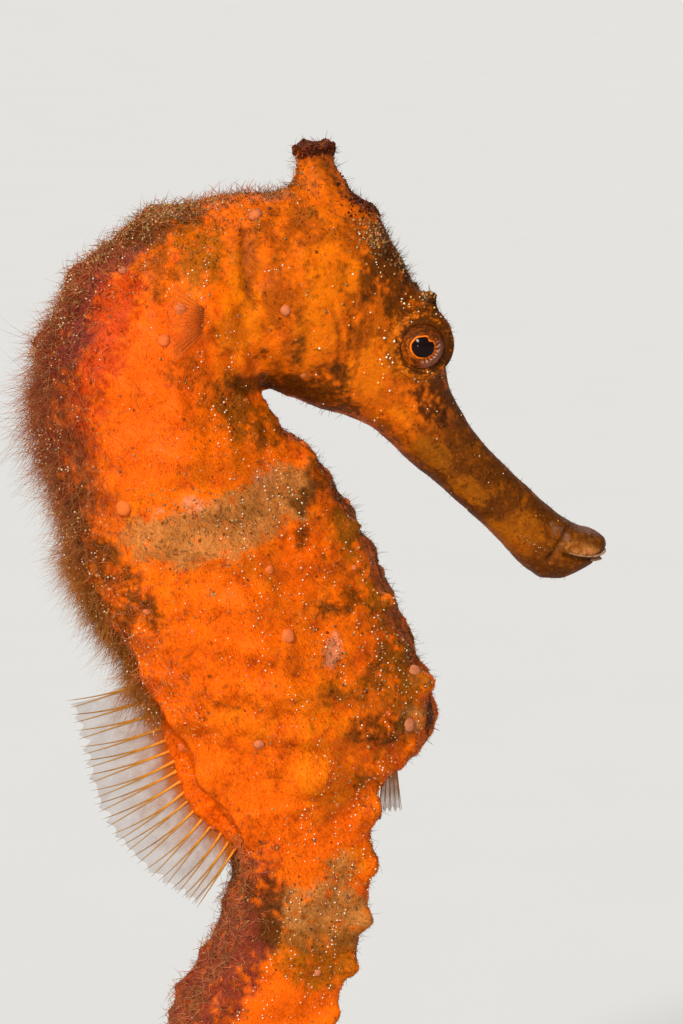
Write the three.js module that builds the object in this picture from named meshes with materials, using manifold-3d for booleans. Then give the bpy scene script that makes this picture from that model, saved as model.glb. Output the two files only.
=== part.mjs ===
// A female estuary seahorse, life size, about 150 mm from crown to tail tip if it were laid straight.
// The head bends down over the chest, the tail swings back and curls forwards, and two short rods hold it
// over a base.
// Millimetres. It faces +X, +Z is up and y = 0 is its median plane, so its right side is at -y.
// The origin is the centre of the base's underside.
import * as THREE from 'three';
import { mergeVertices } from 'three/addons/utils/BufferGeometryUtils.js';
import Module from 'manifold-3d';

const wasm = await Module();
wasm.setup();

// ---------------------------------------------------------------- driving sizes

const GAP = 0.3; // between pieces that touch
const FIN_THICKNESS = 0.6;
const BODY_DROP = 6; // the profile below is drawn this far above its place over the base

// The ridges of a cross-section, right half, as [share of half width, share of half depth]. keel is the
// belly's ridge.
const RIDGES = {
  snout: { upper: [0.6, 0.8], side: [1, 0], lower: [0.62, -0.78], keel: 1 },
  head: { upper: [0.46, 0.86], side: [1, -0.1], lower: [0.62, -0.72], keel: 1 },
  trunk: { upper: [0.52, 0.95], side: [1, 0.05], lower: [0.62, -0.9], keel: 1 },
  belly: { upper: [0.52, 0.95], side: [1, 0.05], lower: [0.64, -0.84], keel: 1 },
  lobe: { upper: [0.54, 0.95], side: [1, 0.05], lower: [0.66, -0.68], keel: 1 },
  tail: { upper: [0.84, 0.94], side: [1, 0.02], lower: [0.86, -0.9], keel: 0.93 },
};

// Named sections from the lips to the point where the tail turns to curl. back and belly are [x, z] in the
// median plane, half is the half width, and oval runs from 0, a ridged polygon, to 1, an ellipse.
const PROFILE = [
  { name: 'lips', back: [29.7, 88.4], belly: [28.4, 87.0], half: 1.0, oval: 1, ridges: RIDGES.snout },
  { name: 'gape', back: [29.4, 89.3], belly: [27.1, 86.2], half: 2.1, oval: 1, ridges: RIDGES.snout },
  { name: 'chin', back: [28.2, 90.1], belly: [25.2, 85.5], half: 2.6, oval: 0.9, ridges: RIDGES.snout },
  { name: 'jaw_hinge', back: [26.5, 90.7], belly: [22.8, 85.9], half: 2.6, oval: 0.8, ridges: RIDGES.snout },
  { name: 'snout_4', back: [24.8, 92.0], belly: [20.9, 88.1], half: 2.3, oval: 0.8, ridges: RIDGES.snout },
  { name: 'snout_3', back: [22.7, 93.9], belly: [19.1, 90.1], half: 2.2, oval: 0.8, ridges: RIDGES.snout },
  { name: 'snout_2', back: [20.5, 96.1], belly: [16.7, 92.3], half: 2.2, oval: 0.8, ridges: RIDGES.snout },
  { name: 'snout_1', back: [18.4, 98.3], belly: [14.3, 94.5], half: 2.3, oval: 0.8, ridges: RIDGES.snout },
  { name: 'snout_root', back: [16.7, 100.7], belly: [11.9, 96.5], half: 2.8, oval: 0.8, ridges: RIDGES.head },
  { name: 'cheek', back: [15.7, 102.7], belly: [10.3, 98.1], half: 3.2, oval: 0.8, ridges: RIDGES.head },
  { name: 'eye', back: [15.0, 105.8], belly: [8.7, 99.5], half: 3.6, oval: 0.8, ridges: RIDGES.head },
  { name: 'brow', back: [14.0, 109.3], belly: [6.8, 100.4], half: 4.2, oval: 0.75, ridges: RIDGES.head },
  { name: 'forehead', back: [12.4, 112.4], belly: [4.7, 101.1], half: 4.9, oval: 0.7, ridges: RIDGES.head },
  { name: 'temple', back: [10.6, 116.0], belly: [2.6, 102.0], half: 5.6, oval: 0.65, ridges: RIDGES.head },
  { name: 'crown_front', back: [8.7, 119.6], belly: [1.1, 102.6], half: 6.1, oval: 0.65, ridges: RIDGES.head },
  { name: 'crown', back: [4.4, 120.7], belly: [-0.1, 103.2], half: 6.4, oval: 0.65, ridges: RIDGES.head },
  { name: 'nape', back: [-0.7, 120.5], belly: [-1.0, 103.8], half: 6.4, oval: 0.6, ridges: RIDGES.head },
  { name: 'gill_opening', back: [-5.8, 119.8], belly: [-1.6, 103.9], half: 6.1, oval: 0.5, ridges: RIDGES.trunk },
  { name: 'neck_1', back: [-11.1, 118.3], belly: [-1.2, 102.6], half: 6.4, oval: 0.5, ridges: RIDGES.trunk },
  { name: 'neck_2', back: [-15.8, 115.4], belly: [-0.3, 101.6], half: 6.8, oval: 0.45, ridges: RIDGES.trunk },
  { name: 'shoulder', back: [-19.6, 111.0], belly: [1.3, 99.8], half: 7.5, oval: 0.4, ridges: RIDGES.trunk },
  { name: 'hump', back: [-21.3, 105.8], belly: [3.6, 97.9], half: 8.3, oval: 0.35, ridges: RIDGES.trunk },
  { name: 'chest_1', back: [-21.2, 99.9], belly: [5.9, 94.5], half: 8.9, oval: 0.35, ridges: RIDGES.trunk },
  { name: 'chest_2', back: [-19.5, 93.9], belly: [8.2, 90.4], half: 9.3, oval: 0.35, ridges: RIDGES.trunk },
  { name: 'waist', back: [-18.2, 88.2], belly: [10.6, 85.7], half: 9.4, oval: 0.35, ridges: RIDGES.belly },
  { name: 'belly_1', back: [-15.6, 83.0], belly: [12.6, 80.8], half: 9.4, oval: 0.35, ridges: RIDGES.belly },
  { name: 'belly_2', back: [-12.0, 78.3], belly: [14.3, 76.4], half: 9.1, oval: 0.35, ridges: RIDGES.belly },
  { name: 'lobe', back: [-9.2, 73.9], belly: [14.6, 72.6], half: 8.5, oval: 0.35, ridges: RIDGES.lobe },
  { name: 'lobe_end', back: [-7.5, 70.6], belly: [13.0, 71.1], half: 7.8, oval: 0.35, ridges: RIDGES.lobe },
  { name: 'vent', back: [-5.6, 67.7], belly: [9.1, 70.2], half: 7.0, oval: 0.3, ridges: RIDGES.tail },
  { name: 'tail_1', back: [-3.4, 64.4], belly: [8.2, 66.3], half: 6.3, oval: 0.25, ridges: RIDGES.tail },
  { name: 'tail_2', back: [-3.2, 61.0], belly: [8.2, 62.3], half: 6.0, oval: 0.2, ridges: RIDGES.tail },
  { name: 'tail_3', back: [-3.9, 57.5], belly: [7.8, 58.2], half: 5.9, oval: 0.2, ridges: RIDGES.tail },
  { name: 'tail_4', back: [-5.3, 53.9], belly: [6.8, 54.0], half: 5.8, oval: 0.2, ridges: RIDGES.tail },
  { name: 'tail_turn', back: [-7.8, 49.9], belly: [4.9, 49.4], half: 5.7, oval: 0.2, ridges: RIDGES.tail },
];

// From tail_turn the tail runs on, then curls forwards: its radius of bend shrinks evenly along its length.
const CURL = {
  length: 80,
  heading: THREE.MathUtils.degToRad(-117), // in the median plane, from +X towards +Z
  turnBack: THREE.MathUtils.degToRad(6), // over the lead, before the curl takes over
  lead: 6,
  easing: 8, // length over which the bend comes in
  firstRadius: 14.5,
  radiusLoss: 0.16, // of radius for each mm of tail
  rootHalf: 6.1,
  tipHalf: 0.6,
  taper: 1.1,
  widthShare: 0.93,
  step: 4, // between sections
};

const RINGS = { trunk: 11, tail: 36, tailShrink: 0.965 }; // each tail ring is this share of the one before
const KNOB = { upper: 0.9, side: 0.6, lower: 0.55, keel: 0.3, groove: 0.18, tail: 1.15, tailShare: 0.15 };

// The cut that parts the jaws, which drops forwards by its tilt.
const GAPE = { at: [29, 88], tilt: THREE.MathUtils.degToRad(22) };
// side is how far each eye's centre is from y = 0; the rim round it rises from rimFoot to rimSide.
const EYE = { radius: 2.1, at: [11.9, 107.2], side: 3.7 };
const EYE_RIM = { rootRadius: 3.4, radius: 2.65, foot: 1.2, side: 4.9 };
const BROW_SPINE = { radius: 0.75, at: [13.1, 2.7, 111.0] };
// The outline is [radius, height], from the middle underneath to the middle on top.
const CORONET = { at: [4.0, 119.2], lean: 4, points: 5, pointRadius: 0.5, pointSpread: 1.8, pointRise: 4.7 };
const CORONET_OUTLINE = [
  [0, 0], [3.4, 0], [2.6, 1.3], [1.9, 2.3], [1.65, 3.1], [1.7, 3.7], [2.05, 4.4], [2, 4.8], [1.4, 4.65], [0, 4.3],
];
const GILL_COVER = { at: [1.1, 109.8], radii: [4.0, 5.2], rise: 1.05, floor: 3.2 };
const CHEEK_SPINE = { radius: 0.65, at: [-0.6, 6.2, 110.8] };
const FIN_LOBE = { radius: 1.8, at: [-5.7, 5.3, 110.6] };
const PECTORAL = {
  at: [-6.3, 6.3, 110.5], rays: 15, reach: 5, scallop: 0.2, halfTurn: 0.6, spread: 0.9, swing: 22,
};
const ANAL = { root: [10.4, 71], rays: 5, rayGap: 0.22, reach: 5.6, halfTurn: 0.1 };
const DORSAL = {
  from: 'belly_2', to: 'tail_1', rays: 17, baseRise: 1.8, baseThickness: 1.7, sunk: 0.9, scallop: 0.35,
  firstTurn: THREE.MathUtils.degToRad(178), lastTurn: THREE.MathUtils.degToRad(246), turnPower: 1.3,
  firstReach: 4.6, lastReach: 5.2, middleExtra: 1.8,
};

// Blunt knobs on both sides, each a number of sections past a named one and a number of quarter faces below
// the upper ridge: two on the crown of the head, then a row down the lower ridge.
const LOWER_RIDGE = 8;
const HEAD_KNOBS = [
  { past: 'nape', by: 0.25, quarters: 1, radius: 0.8 },
  { past: 'temple', by: 0.6, quarters: 1, radius: 0.8 },
];
const CHEST_KNOBS = [
  { past: 'hump', by: 0.1, quarters: LOWER_RIDGE, radius: 0.75 },
  { past: 'chest_1', by: 0.6, quarters: LOWER_RIDGE, radius: 0.85 },
];
const BELLY_KNOBS = [
  { past: 'waist', by: 0, quarters: LOWER_RIDGE, radius: 0.95 },
  { past: 'belly_1', by: 0.55, quarters: LOWER_RIDGE, radius: 1.05 },
  { past: 'lobe', by: 0, quarters: LOWER_RIDGE, radius: 0.95 },
];

const STAND = {
  radius: 27, height: 6, chamfer: 1.2, rodRadius: 1.3, collarRadius: 3, collarHeight: 1.6, wall: 1.3,
};
// The cradles at the rods' tops; spread is how far each lies along the tail from where it hangs lowest.
const CRADLE = { half: 1.6, depthShare: 0.45, clearance: 0.6, spread: 5.5 };

// ---------------------------------------------------------------- the body's line and sections

// The curl's sections, walked along its line in short steps.
function curlSections() {
  const root = PROFILE.at(-1);
  const sections = [];
  const pace = 0.25;
  let heading = CURL.heading;
  let x = (root.back[0] + root.belly[0]) / 2;
  let z = (root.back[1] + root.belly[1]) / 2;
  for (let gone = pace; gone <= CURL.length + 1e-6; gone += pace) {
    const past = gone - CURL.lead;
    const bend = past < 0
      ? CURL.turnBack / CURL.lead
      : Math.min(1, past / CURL.easing) / (CURL.firstRadius - CURL.radiusLoss * past);
    heading += bend * pace;
    x += Math.cos(heading) * pace;
    z += Math.sin(heading) * pace;
    if (Math.abs(gone / CURL.step - Math.round(gone / CURL.step)) > 1e-6) continue;
    const share = Math.pow(1 - gone / CURL.length, CURL.taper);
    const half = CURL.tipHalf + (CURL.rootHalf - CURL.tipHalf) * share;
    const back = [x + Math.sin(heading) * half, z - Math.cos(heading) * half];
    const belly = [x - Math.sin(heading) * half, z + Math.cos(heading) * half];
    const width = half * CURL.widthShare + (1 - CURL.widthShare) * CURL.tipHalf;
    const name = `curl_${sections.length + 1}`;
    sections.push({ name, back, belly, half: width, oval: 0.25, ridges: RIDGES.tail });
  }
  return sections;
}

const SECTIONS = [...PROFILE, ...curlSections()];
const LAST = SECTIONS.length - 1;
const smooth = (pointOf) => new THREE.CatmullRomCurve3(SECTIONS.map(pointOf));
const BACK = smooth((s) => new THREE.Vector3(s.back[0], 0, s.back[1]));
const BELLY = smooth((s) => new THREE.Vector3(s.belly[0], 0, s.belly[1]));
const SIZE = smooth((s, i) => new THREE.Vector3(s.half, s.oval, i));
const place = (name) => SECTIONS.findIndex((s) => s.name === name);

// The section at place t, counted in sections from the lips.
function sectionAt(t) {
  const back = BACK.getPoint(t / LAST);
  const belly = BELLY.getPoint(t / LAST);
  const size = SIZE.getPoint(t / LAST);
  const from = SECTIONS[Math.min(Math.floor(t), LAST - 1)].ridges;
  const to = SECTIONS[Math.min(Math.floor(t) + 1, LAST)].ridges;
  const share = t - Math.min(Math.floor(t), LAST - 1);
  const mix = (key) => [0, 1].map((i) => THREE.MathUtils.lerp(from[key][i], to[key][i], share));
  return {
    centre: back.clone().add(belly).multiplyScalar(0.5),
    up: back.clone().sub(belly).normalize(),
    halfDepth: back.distanceTo(belly) / 2,
    halfWidth: size.x,
    oval: size.y,
    upper: mix('upper'),
    side: mix('side'),
    lower: mix('lower'),
    keel: THREE.MathUtils.lerp(from.keel, to.keel, share),
  };
}

// Length along the centre line, kept at every FINE_STEPS-th of a section, and its inverse.
const FINE_STEPS = 20;
const LENGTHS = [0];
for (let i = 1; i <= LAST * FINE_STEPS; i++) {
  const step = sectionAt(i / FINE_STEPS).centre.distanceTo(sectionAt((i - 1) / FINE_STEPS).centre);
  LENGTHS.push(LENGTHS[i - 1] + step);
}
const lengthAt = (t) => {
  const i = Math.min(Math.floor(t * FINE_STEPS), LENGTHS.length - 2);
  return THREE.MathUtils.lerp(LENGTHS[i], LENGTHS[i + 1], t * FINE_STEPS - i);
};
const placeAt = (length) => {
  const i = Math.max(1, LENGTHS.findIndex((l) => l >= length));
  return (i - 1 + (length - LENGTHS[i - 1]) / (LENGTHS[i] - LENGTHS[i - 1])) / FINE_STEPS;
};

// Ring edges, as lengths: eleven even ones on the trunk, then the tail's, which shrink towards the tip.
function ringEdges() {
  const gill = lengthAt(place('gill_opening'));
  const vent = lengthAt(place('vent'));
  const edges = [];
  for (let i = 0; i < RINGS.trunk; i++) edges.push(gill + ((vent - gill) * i) / RINGS.trunk);
  const shares = Array.from({ length: RINGS.tail }, (_, i) => Math.pow(RINGS.tailShrink, i));
  const whole = shares.reduce((sum, share) => sum + share, 0);
  let edge = vent;
  for (const share of shares) {
    edges.push(edge);
    edge += ((LENGTHS.at(-1) - vent) * share) / whole;
  }
  edges.push(LENGTHS.at(-1));
  return edges;
}
const RING_EDGES = ringEdges();

// How far each ridge stands out at place t: a knob in the middle of each ring, a groove where two meet.
function ringRelief(t, halfDepth) {
  const length = lengthAt(t);
  const ring = RING_EDGES.findIndex((edge, i) => length >= edge && length < RING_EDGES[i + 1]);
  if (ring < 0) return { upper: 0, side: 0, lower: 0, keel: 0, all: 0 };
  const share = (length - RING_EDGES[ring]) / (RING_EDGES[ring + 1] - RING_EDGES[ring]);
  const crest = Math.pow(Math.sin(Math.PI * share), 2);
  const all = -KNOB.groove * Math.min(1, halfDepth * KNOB.tailShare) * (1 - crest);
  const tailKnob = KNOB.tail * Math.min(1, halfDepth * KNOB.tailShare);
  const knob = ring < RINGS.trunk ? KNOB : { upper: tailKnob, side: 0, lower: tailKnob, keel: 0 };
  return {
    upper: knob.upper * crest,
    side: knob.side * crest,
    lower: knob.lower * crest,
    keel: knob.keel * crest,
    all,
  };
}

// One closed outline of a section, faceSteps points to each of its seven sides, moved out by grow.
function outline(t, faceSteps, grow = 0) {
  const s = sectionAt(t);
  const relief = ringRelief(t, s.halfDepth);
  const corner = (pair, out, side) => ({ a: side * pair[0], b: pair[1], out });
  const corners = [
    corner(s.upper, relief.upper, -1),
    corner(s.side, relief.side, -1),
    corner(s.lower, relief.lower, -1),
    corner([0, -s.keel], relief.keel, 1),
    corner(s.lower, relief.lower, 1),
    corner(s.side, relief.side, 1),
    corner(s.upper, relief.upper, 1),
  ];
  const points = [];
  corners.forEach((from, k) => {
    const to = corners[(k + 1) % corners.length];
    for (let i = 0; i < faceSteps; i++) {
      const share = i / faceSteps;
      let a = THREE.MathUtils.lerp(from.a, to.a, share);
      let b = THREE.MathUtils.lerp(from.b, to.b, share);
      const round = THREE.MathUtils.lerp(1, 1 / Math.hypot(a, b), s.oval);
      a *= round;
      b *= round;
      const out = (i === 0 ? from.out : 0) + relief.all + grow;
      const width = a * s.halfWidth;
      const depth = b * s.halfDepth;
      const reach = 1 + out / Math.hypot(width, depth);
      const point = s.centre.clone().addScaledVector(s.up, depth * reach);
      point.y = width * reach;
      points.push(point);
    }
  });
  return points;
}

// A closed solid through the outlines at the given places, with flat ends.
function loft(places, faceSteps, grow = 0) {
  const rows = places.map((t) => outline(t, faceSteps, grow));
  const around = rows[0].length;
  const middle = (row) => row.reduce((sum, p) => sum.add(p), new THREE.Vector3()).divideScalar(around);
  const points = [middle(rows[0]), ...rows.flat(), middle(rows.at(-1))];
  const faces = [];
  for (let i = 0; i < around; i++) {
    const next = (i + 1) % around;
    faces.push(0, 1 + i, 1 + next);
    for (let r = 0; r < rows.length - 1; r++) {
      const here = 1 + r * around;
      faces.push(here + i, here + around + i, here + next);
      faces.push(here + next, here + around + i, here + around + next);
    }
    const end = 1 + (rows.length - 1) * around;
    faces.push(points.length - 1, end + next, end + i);
  }
  return new THREE.BufferGeometry().setFromPoints(points).setIndex(faces);
}

// Places between two ends, GAP apart from the neighbours' ends, at even steps of about the given length.
function evenPlaces(from, to, step) {
  const start = lengthAt(from) + GAP / 2;
  const end = lengthAt(to) - GAP / 2;
  const count = Math.max(1, Math.round((end - start) / step));
  return Array.from({ length: count + 1 }, (_, i) => placeAt(start + ((end - start) * i) / count));
}

// Places between two ends that fall on ring edges and on ringSteps even steps inside each ring.
function ringPlaces(from, to, ringSteps) {
  const start = lengthAt(from) + (from === 0 ? 0 : GAP / 2);
  const end = lengthAt(to) - (to === LAST ? 1e-3 : GAP / 2);
  const lengths = [];
  RING_EDGES.slice(0, -1).forEach((edge, i) => {
    for (let k = 0; k < ringSteps; k++) lengths.push(edge + ((RING_EDGES[i + 1] - edge) * k) / ringSteps);
  });
  const inside = lengths.filter((l) => l > start + GAP && l < end - GAP);
  return [start, ...inside, end].map(placeAt);
}

// ---------------------------------------------------------------- solids

function solidOf(geometry) {
  const bare = geometry.clone();
  for (const name of Object.keys(bare.attributes)) if (name !== 'position') bare.deleteAttribute(name);
  const merged = mergeVertices(bare, 1e-4);
  return new wasm.Manifold(new wasm.Mesh({
    numProp: 3,
    vertProperties: merged.attributes.position.array,
    triVerts: new Uint32Array(merged.index.array),
  }));
}

function geometryOf(solid) {
  const mesh = solid.getMesh();
  const geometry = new THREE.BufferGeometry();
  geometry.setAttribute('position', new THREE.BufferAttribute(mesh.vertProperties, 3));
  geometry.setIndex(new THREE.BufferAttribute(mesh.triVerts, 1));
  return geometry;
}

// A geometry turned about X then Y and moved to a point.
function placed(geometry, [x, y, z], turnX = 0, turnY = 0) {
  return solidOf(geometry.clone().rotateX(turnX).rotateY(turnY).translate(x, y, z));
}

const ball = (radius, at, detail) => placed(new THREE.IcosahedronGeometry(radius, detail), at);
const slab = (size, at, turnY = 0) => placed(new THREE.BoxGeometry(...size), at, 0, turnY);
const spun = (profile, segments, at, turnX = Math.PI / 2) => placed(
  new THREE.LatheGeometry(profile.map(([r, h]) => new THREE.Vector2(r, h)), segments), at, turnX,
);
const joined = (first, more) => more.reduce((sum, piece) => sum.add(piece), first);

// Balls on both sides of the body, and knobs, which are balls centred on its skin.
const pair = (radius, [x, y, z], detail = 1) => [-1, 1].map((side) => ball(radius, [x, side * y, z], detail));
const knobs = (list) => list.flatMap(({ past, by, quarters, radius }) => {
  const p = outline(place(past) + by, 4)[quarters];
  return pair(radius, [p.x, p.y, p.z]);
});

// The body through the given places, GAP larger all round, for cutting what stands on it.
const bodyHull = (places) => solidOf(loft(places, 3, GAP));

// The largest piece of what is left of a solid once others are cut from it.
function clearOf(solid, others) {
  const left = others.reduce((rest, other) => rest.subtract(other), solid);
  return left.decompose().reduce((big, piece) => (piece.volume() > big.volume() ? piece : big));
}

// ---------------------------------------------------------------- sub-parts

const group = new THREE.Group();
const seahorse = new THREE.Group();
seahorse.position.z = -BODY_DROP;
group.add(seahorse);

const SKIN = { color: 0xf2660c, roughness: 0.55, metalness: 0 };
const SNOUT_SKIN = { color: 0x9a4f10, roughness: 0.55, metalness: 0 };
const FIN = { color: 0xd9a14a, roughness: 0.4, metalness: 0 };
const EYE_FINISH = { color: 0x8a3c08, roughness: 0.15, metalness: 0 };
const WOOD = { color: 0x2c211a, roughness: 0.45, metalness: 0 };
const STEEL = { color: 0xb9bcc0, roughness: 0.3, metalness: 1 };

function add(name, solid, finish, parent = seahorse) {
  const mesh = new THREE.Mesh(geometryOf(solid), new THREE.MeshStandardMaterial(finish));
  mesh.name = name;
  parent.add(mesh);
}

// Where the pieces of the body part from each other, in sections from the lips.
const CUTS = {
  mouth: place('chin') + 0.6,
  snout: place('snout_1') + 0.5,
  head: place('gill_opening') + 0.1,
  neck: place('shoulder'),
  chest: place('waist') - 0.4,
  belly: place('vent'),
};
const TAIL_PIECES = [
  { name: 'tail_base', end: place('vent') + 4, ringSteps: 2, faceSteps: 3 },
  { name: 'tail_upper', end: place('vent') + 10, ringSteps: 2, faceSteps: 2 },
  { name: 'tail_middle', end: place('vent') + 14, ringSteps: 2, faceSteps: 2 },
  { name: 'tail_lower', end: place('vent') + 18, ringSteps: 2, faceSteps: 2 },
  { name: 'tail_tip', end: LAST, ringSteps: 1, faceSteps: 2 },
];

const SIDES = [['right', -1], ['left', 1]];

// Skull, with a rim round each eye, a spine over each brow and low knobs on the crown.
function headSolid() {
  const height = EYE_RIM.side - EYE_RIM.foot;
  const rim = [[0, 0], [EYE_RIM.rootRadius, 0], [EYE_RIM.rootRadius * 0.97, height * 0.4],
    [EYE_RIM.radius, height - 0.5], [EYE_RIM.radius * 0.9, height], [0, height]];
  const rims = SIDES.map(([, side]) => (
    spun(rim, 16, [EYE.at[0], side * EYE_RIM.foot, EYE.at[1]], side > 0 ? 0 : Math.PI)
  ));
  const browSpines = pair(BROW_SPINE.radius, BROW_SPINE.at);
  const skull = solidOf(loft(evenPlaces(CUTS.snout, CUTS.head, 1.9), 3));
  return joined(skull, [...rims, ...browSpines, ...knobs(HEAD_KNOBS)]);
}

// A low crown with a waist and a cupped top whose rim carries blunt points.
function coronetSolid() {
  const points = Array.from({ length: CORONET.points }, (_, i) => {
    const turn = ((i + 0.5) * 2 * Math.PI) / CORONET.points;
    const [x, y] = [Math.cos(turn) * CORONET.pointSpread, Math.sin(turn) * CORONET.pointSpread];
    return ball(CORONET.pointRadius, [x, y, CORONET.pointRise], 0);
  });
  const crown = joined(spun(CORONET_OUTLINE, 12, [0, 0, 0]), points)
    .rotate([0, -CORONET.lean, 0])
    .translate([CORONET.at[0], 0, CORONET.at[1]]);
  return clearOf(crown, [bodyHull(evenPlaces(place('temple'), place('nape') + 0.5, 1.7))]);
}

// A round plate over each gill chamber, let into the side of the head and standing a little proud.
function gillCover(head, side) {
  const [x, z] = GILL_COVER.at;
  const [radiusX, radiusZ] = GILL_COVER.radii;
  const depth = 12;
  const lens = (grow) => placed(
    new THREE.CylinderGeometry(1, 1, depth, 20).scale(radiusX + grow, 1, radiusZ + grow),
    [x, side * (depth / 2 + GILL_COVER.floor - grow), z],
  );
  const [spineX, spineY, spineZ] = CHEEK_SPINE.at;
  const cover = head.scale([1, GILL_COVER.rise, 1])
    .intersect(lens(0))
    .add(ball(CHEEK_SPINE.radius, [spineX, side * spineY, spineZ], 1));
  return { cover, hollow: lens(GAP) };
}

// A thin plate about y = 0 between a root line and a tip line, both lists of [x, z].
function fanPlate(root, tip, thickness = FIN_THICKNESS) {
  const shape = new THREE.Shape([...root, ...[...tip].reverse()].map(([x, z]) => new THREE.Vector2(x, z)));
  const plate = new THREE.ExtrudeGeometry(shape, { depth: thickness, bevelEnabled: false });
  return solidOf(plate.translate(0, 0, -thickness / 2).rotateX(Math.PI / 2));
}

// The fin on the back: a fleshy strip along its root and a thin fan of rays above it.
function dorsalFin() {
  const from = place(DORSAL.from) + 0.1;
  const to = place(DORSAL.to) + 0.2;
  const count = DORSAL.rays * 2 - 1;
  const backLine = (rise) => Array.from({ length: count }, (_, i) => {
    const t = from + ((to - from) * i) / (count - 1);
    const p = BACK.getPoint(t / LAST);
    const ahead = BACK.getPoint((t + 0.05) / LAST).sub(p).normalize();
    const swell = i === 0 ? 0.3 : 1;
    return [p.x + ahead.z * rise * swell, p.z - ahead.x * rise * swell];
  });
  const crest = backLine(DORSAL.baseRise);
  const tips = crest.map(([x, z], i) => {
    const share = i / (count - 1);
    const turn = THREE.MathUtils.lerp(DORSAL.firstTurn, DORSAL.lastTurn, Math.pow(share, DORSAL.turnPower));
    const ends = THREE.MathUtils.lerp(DORSAL.firstReach, DORSAL.lastReach, share);
    const reach = ends + DORSAL.middleExtra * Math.sin(Math.PI * share) - (i % 2) * DORSAL.scallop;
    return [x + Math.cos(turn) * reach, z + Math.sin(turn) * reach];
  });
  const fin = fanPlate(crest, tips).add(fanPlate(backLine(-DORSAL.sunk), crest, DORSAL.baseThickness));
  return clearOf(fin, [bodyHull(ringPlaces(from - 1, to + 1, 2))]);
}

// A small fan behind each gill cover, on a lobe of flesh, standing off the neck at the back.
function pectoralFin(side) {
  const arc = (reach, scallop) => Array.from({ length: PECTORAL.rays }, (_, i) => {
    const turn = THREE.MathUtils.lerp(-PECTORAL.halfTurn, PECTORAL.halfTurn, i / (PECTORAL.rays - 1));
    const out = reach - (i % 2) * scallop;
    return [-Math.cos(turn) * out, Math.sin(turn) * (out + PECTORAL.spread)];
  });
  const [x, y, z] = PECTORAL.at;
  const fan = fanPlate(arc(0, 0), arc(PECTORAL.reach, PECTORAL.scallop))
    .rotate([0, 0, -side * PECTORAL.swing])
    .translate([x, side * y, z]);
  const lobe = ball(FIN_LOBE.radius + GAP, [FIN_LOBE.at[0], side * FIN_LOBE.at[1], FIN_LOBE.at[2]], 1);
  return clearOf(fan, [bodyHull(ringPlaces(CUTS.head, CUTS.neck, 2)), lobe]);
}

function analFin() {
  const line = (reach) => Array.from({ length: ANAL.rays }, (_, i) => {
    const share = i / (ANAL.rays - 1) - 0.5;
    const turn = -Math.PI / 2 + share * 2 * ANAL.halfTurn;
    const [x, z] = ANAL.root;
    return [x + share * (ANAL.rays - 1) * ANAL.rayGap + Math.cos(turn) * reach, z + Math.sin(turn) * reach];
  });
  const fin = fanPlate(line(0), line(ANAL.reach));
  return clearOf(fin, [bodyHull(ringPlaces(place('lobe'), place('tail_1'), 2))]);
}

// The snout's end is parted along the gape into an upper and a lower jaw.
function jaws() {
  const mouth = solidOf(loft([0.001, 0.35, 0.7, 1, 1.5, 2, CUTS.mouth - 0.05], 3));
  const [x, z] = GAPE.at;
  const height = 12;
  const above = (rise) => {
    const lift = height / 2 + rise;
    const at = [x - Math.sin(GAPE.tilt) * lift, 0, z + Math.cos(GAPE.tilt) * lift];
    return slab([40, 20, height], at, -GAPE.tilt);
  };
  return { upper: mouth.intersect(above(GAP / 2)), lower: mouth.subtract(above(-GAP / 2)) };
}

const { upper, lower } = jaws();
add('upper_jaw', upper, SNOUT_SKIN);
add('lower_jaw', lower, SNOUT_SKIN);
add('snout', solidOf(loft(evenPlaces(CUTS.mouth, CUTS.snout, 2.3), 3)), SNOUT_SKIN);

const head = headSolid();
let skull = head;
for (const [sideName, side] of SIDES) {
  const { cover, hollow } = gillCover(head, side);
  const eyeAt = [EYE.at[0], side * EYE.side, EYE.at[1]];
  add(`gill_cover_${sideName}`, cover, SKIN);
  add(`eye_${sideName}`, ball(EYE.radius, eyeAt, 2), EYE_FINISH);
  skull = skull.subtract(hollow).subtract(ball(EYE.radius + GAP, eyeAt, 2));
}
add('head', skull, SKIN);
add('coronet', coronetSolid(), SKIN);

const finLobes = pair(FIN_LOBE.radius, FIN_LOBE.at);
add('neck', joined(solidOf(loft(ringPlaces(CUTS.head, CUTS.neck, 2), 3)), finLobes), SKIN);
add('chest', joined(solidOf(loft(ringPlaces(CUTS.neck, CUTS.chest, 2), 3)), knobs(CHEST_KNOBS)), SKIN);
add('belly', joined(solidOf(loft(ringPlaces(CUTS.chest, CUTS.belly, 2), 3)), knobs(BELLY_KNOBS)), SKIN);
TAIL_PIECES.forEach(({ name, end, ringSteps, faceSteps }, i) => {
  const start = i === 0 ? CUTS.belly : TAIL_PIECES[i - 1].end;
  add(name, solidOf(loft(ringPlaces(start, end, ringSteps), faceSteps)), SKIN);
});

add('dorsal_fin', dorsalFin(), FIN);
add('anal_fin', analFin(), FIN);
for (const [sideName, side] of SIDES) add(`pectoral_fin_${sideName}`, pectoralFin(side), FIN);

// ---------------------------------------------------------------- stand

// The place where the curl hangs lowest.
function lowestPlace() {
  const heightAt = (t) => BACK.getPoint(t / LAST).z;
  let lowest = place('tail_turn');
  for (let t = lowest; t < LAST; t += 0.05) if (heightAt(t) < heightAt(lowest)) lowest = t;
  return lowest;
}

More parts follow.
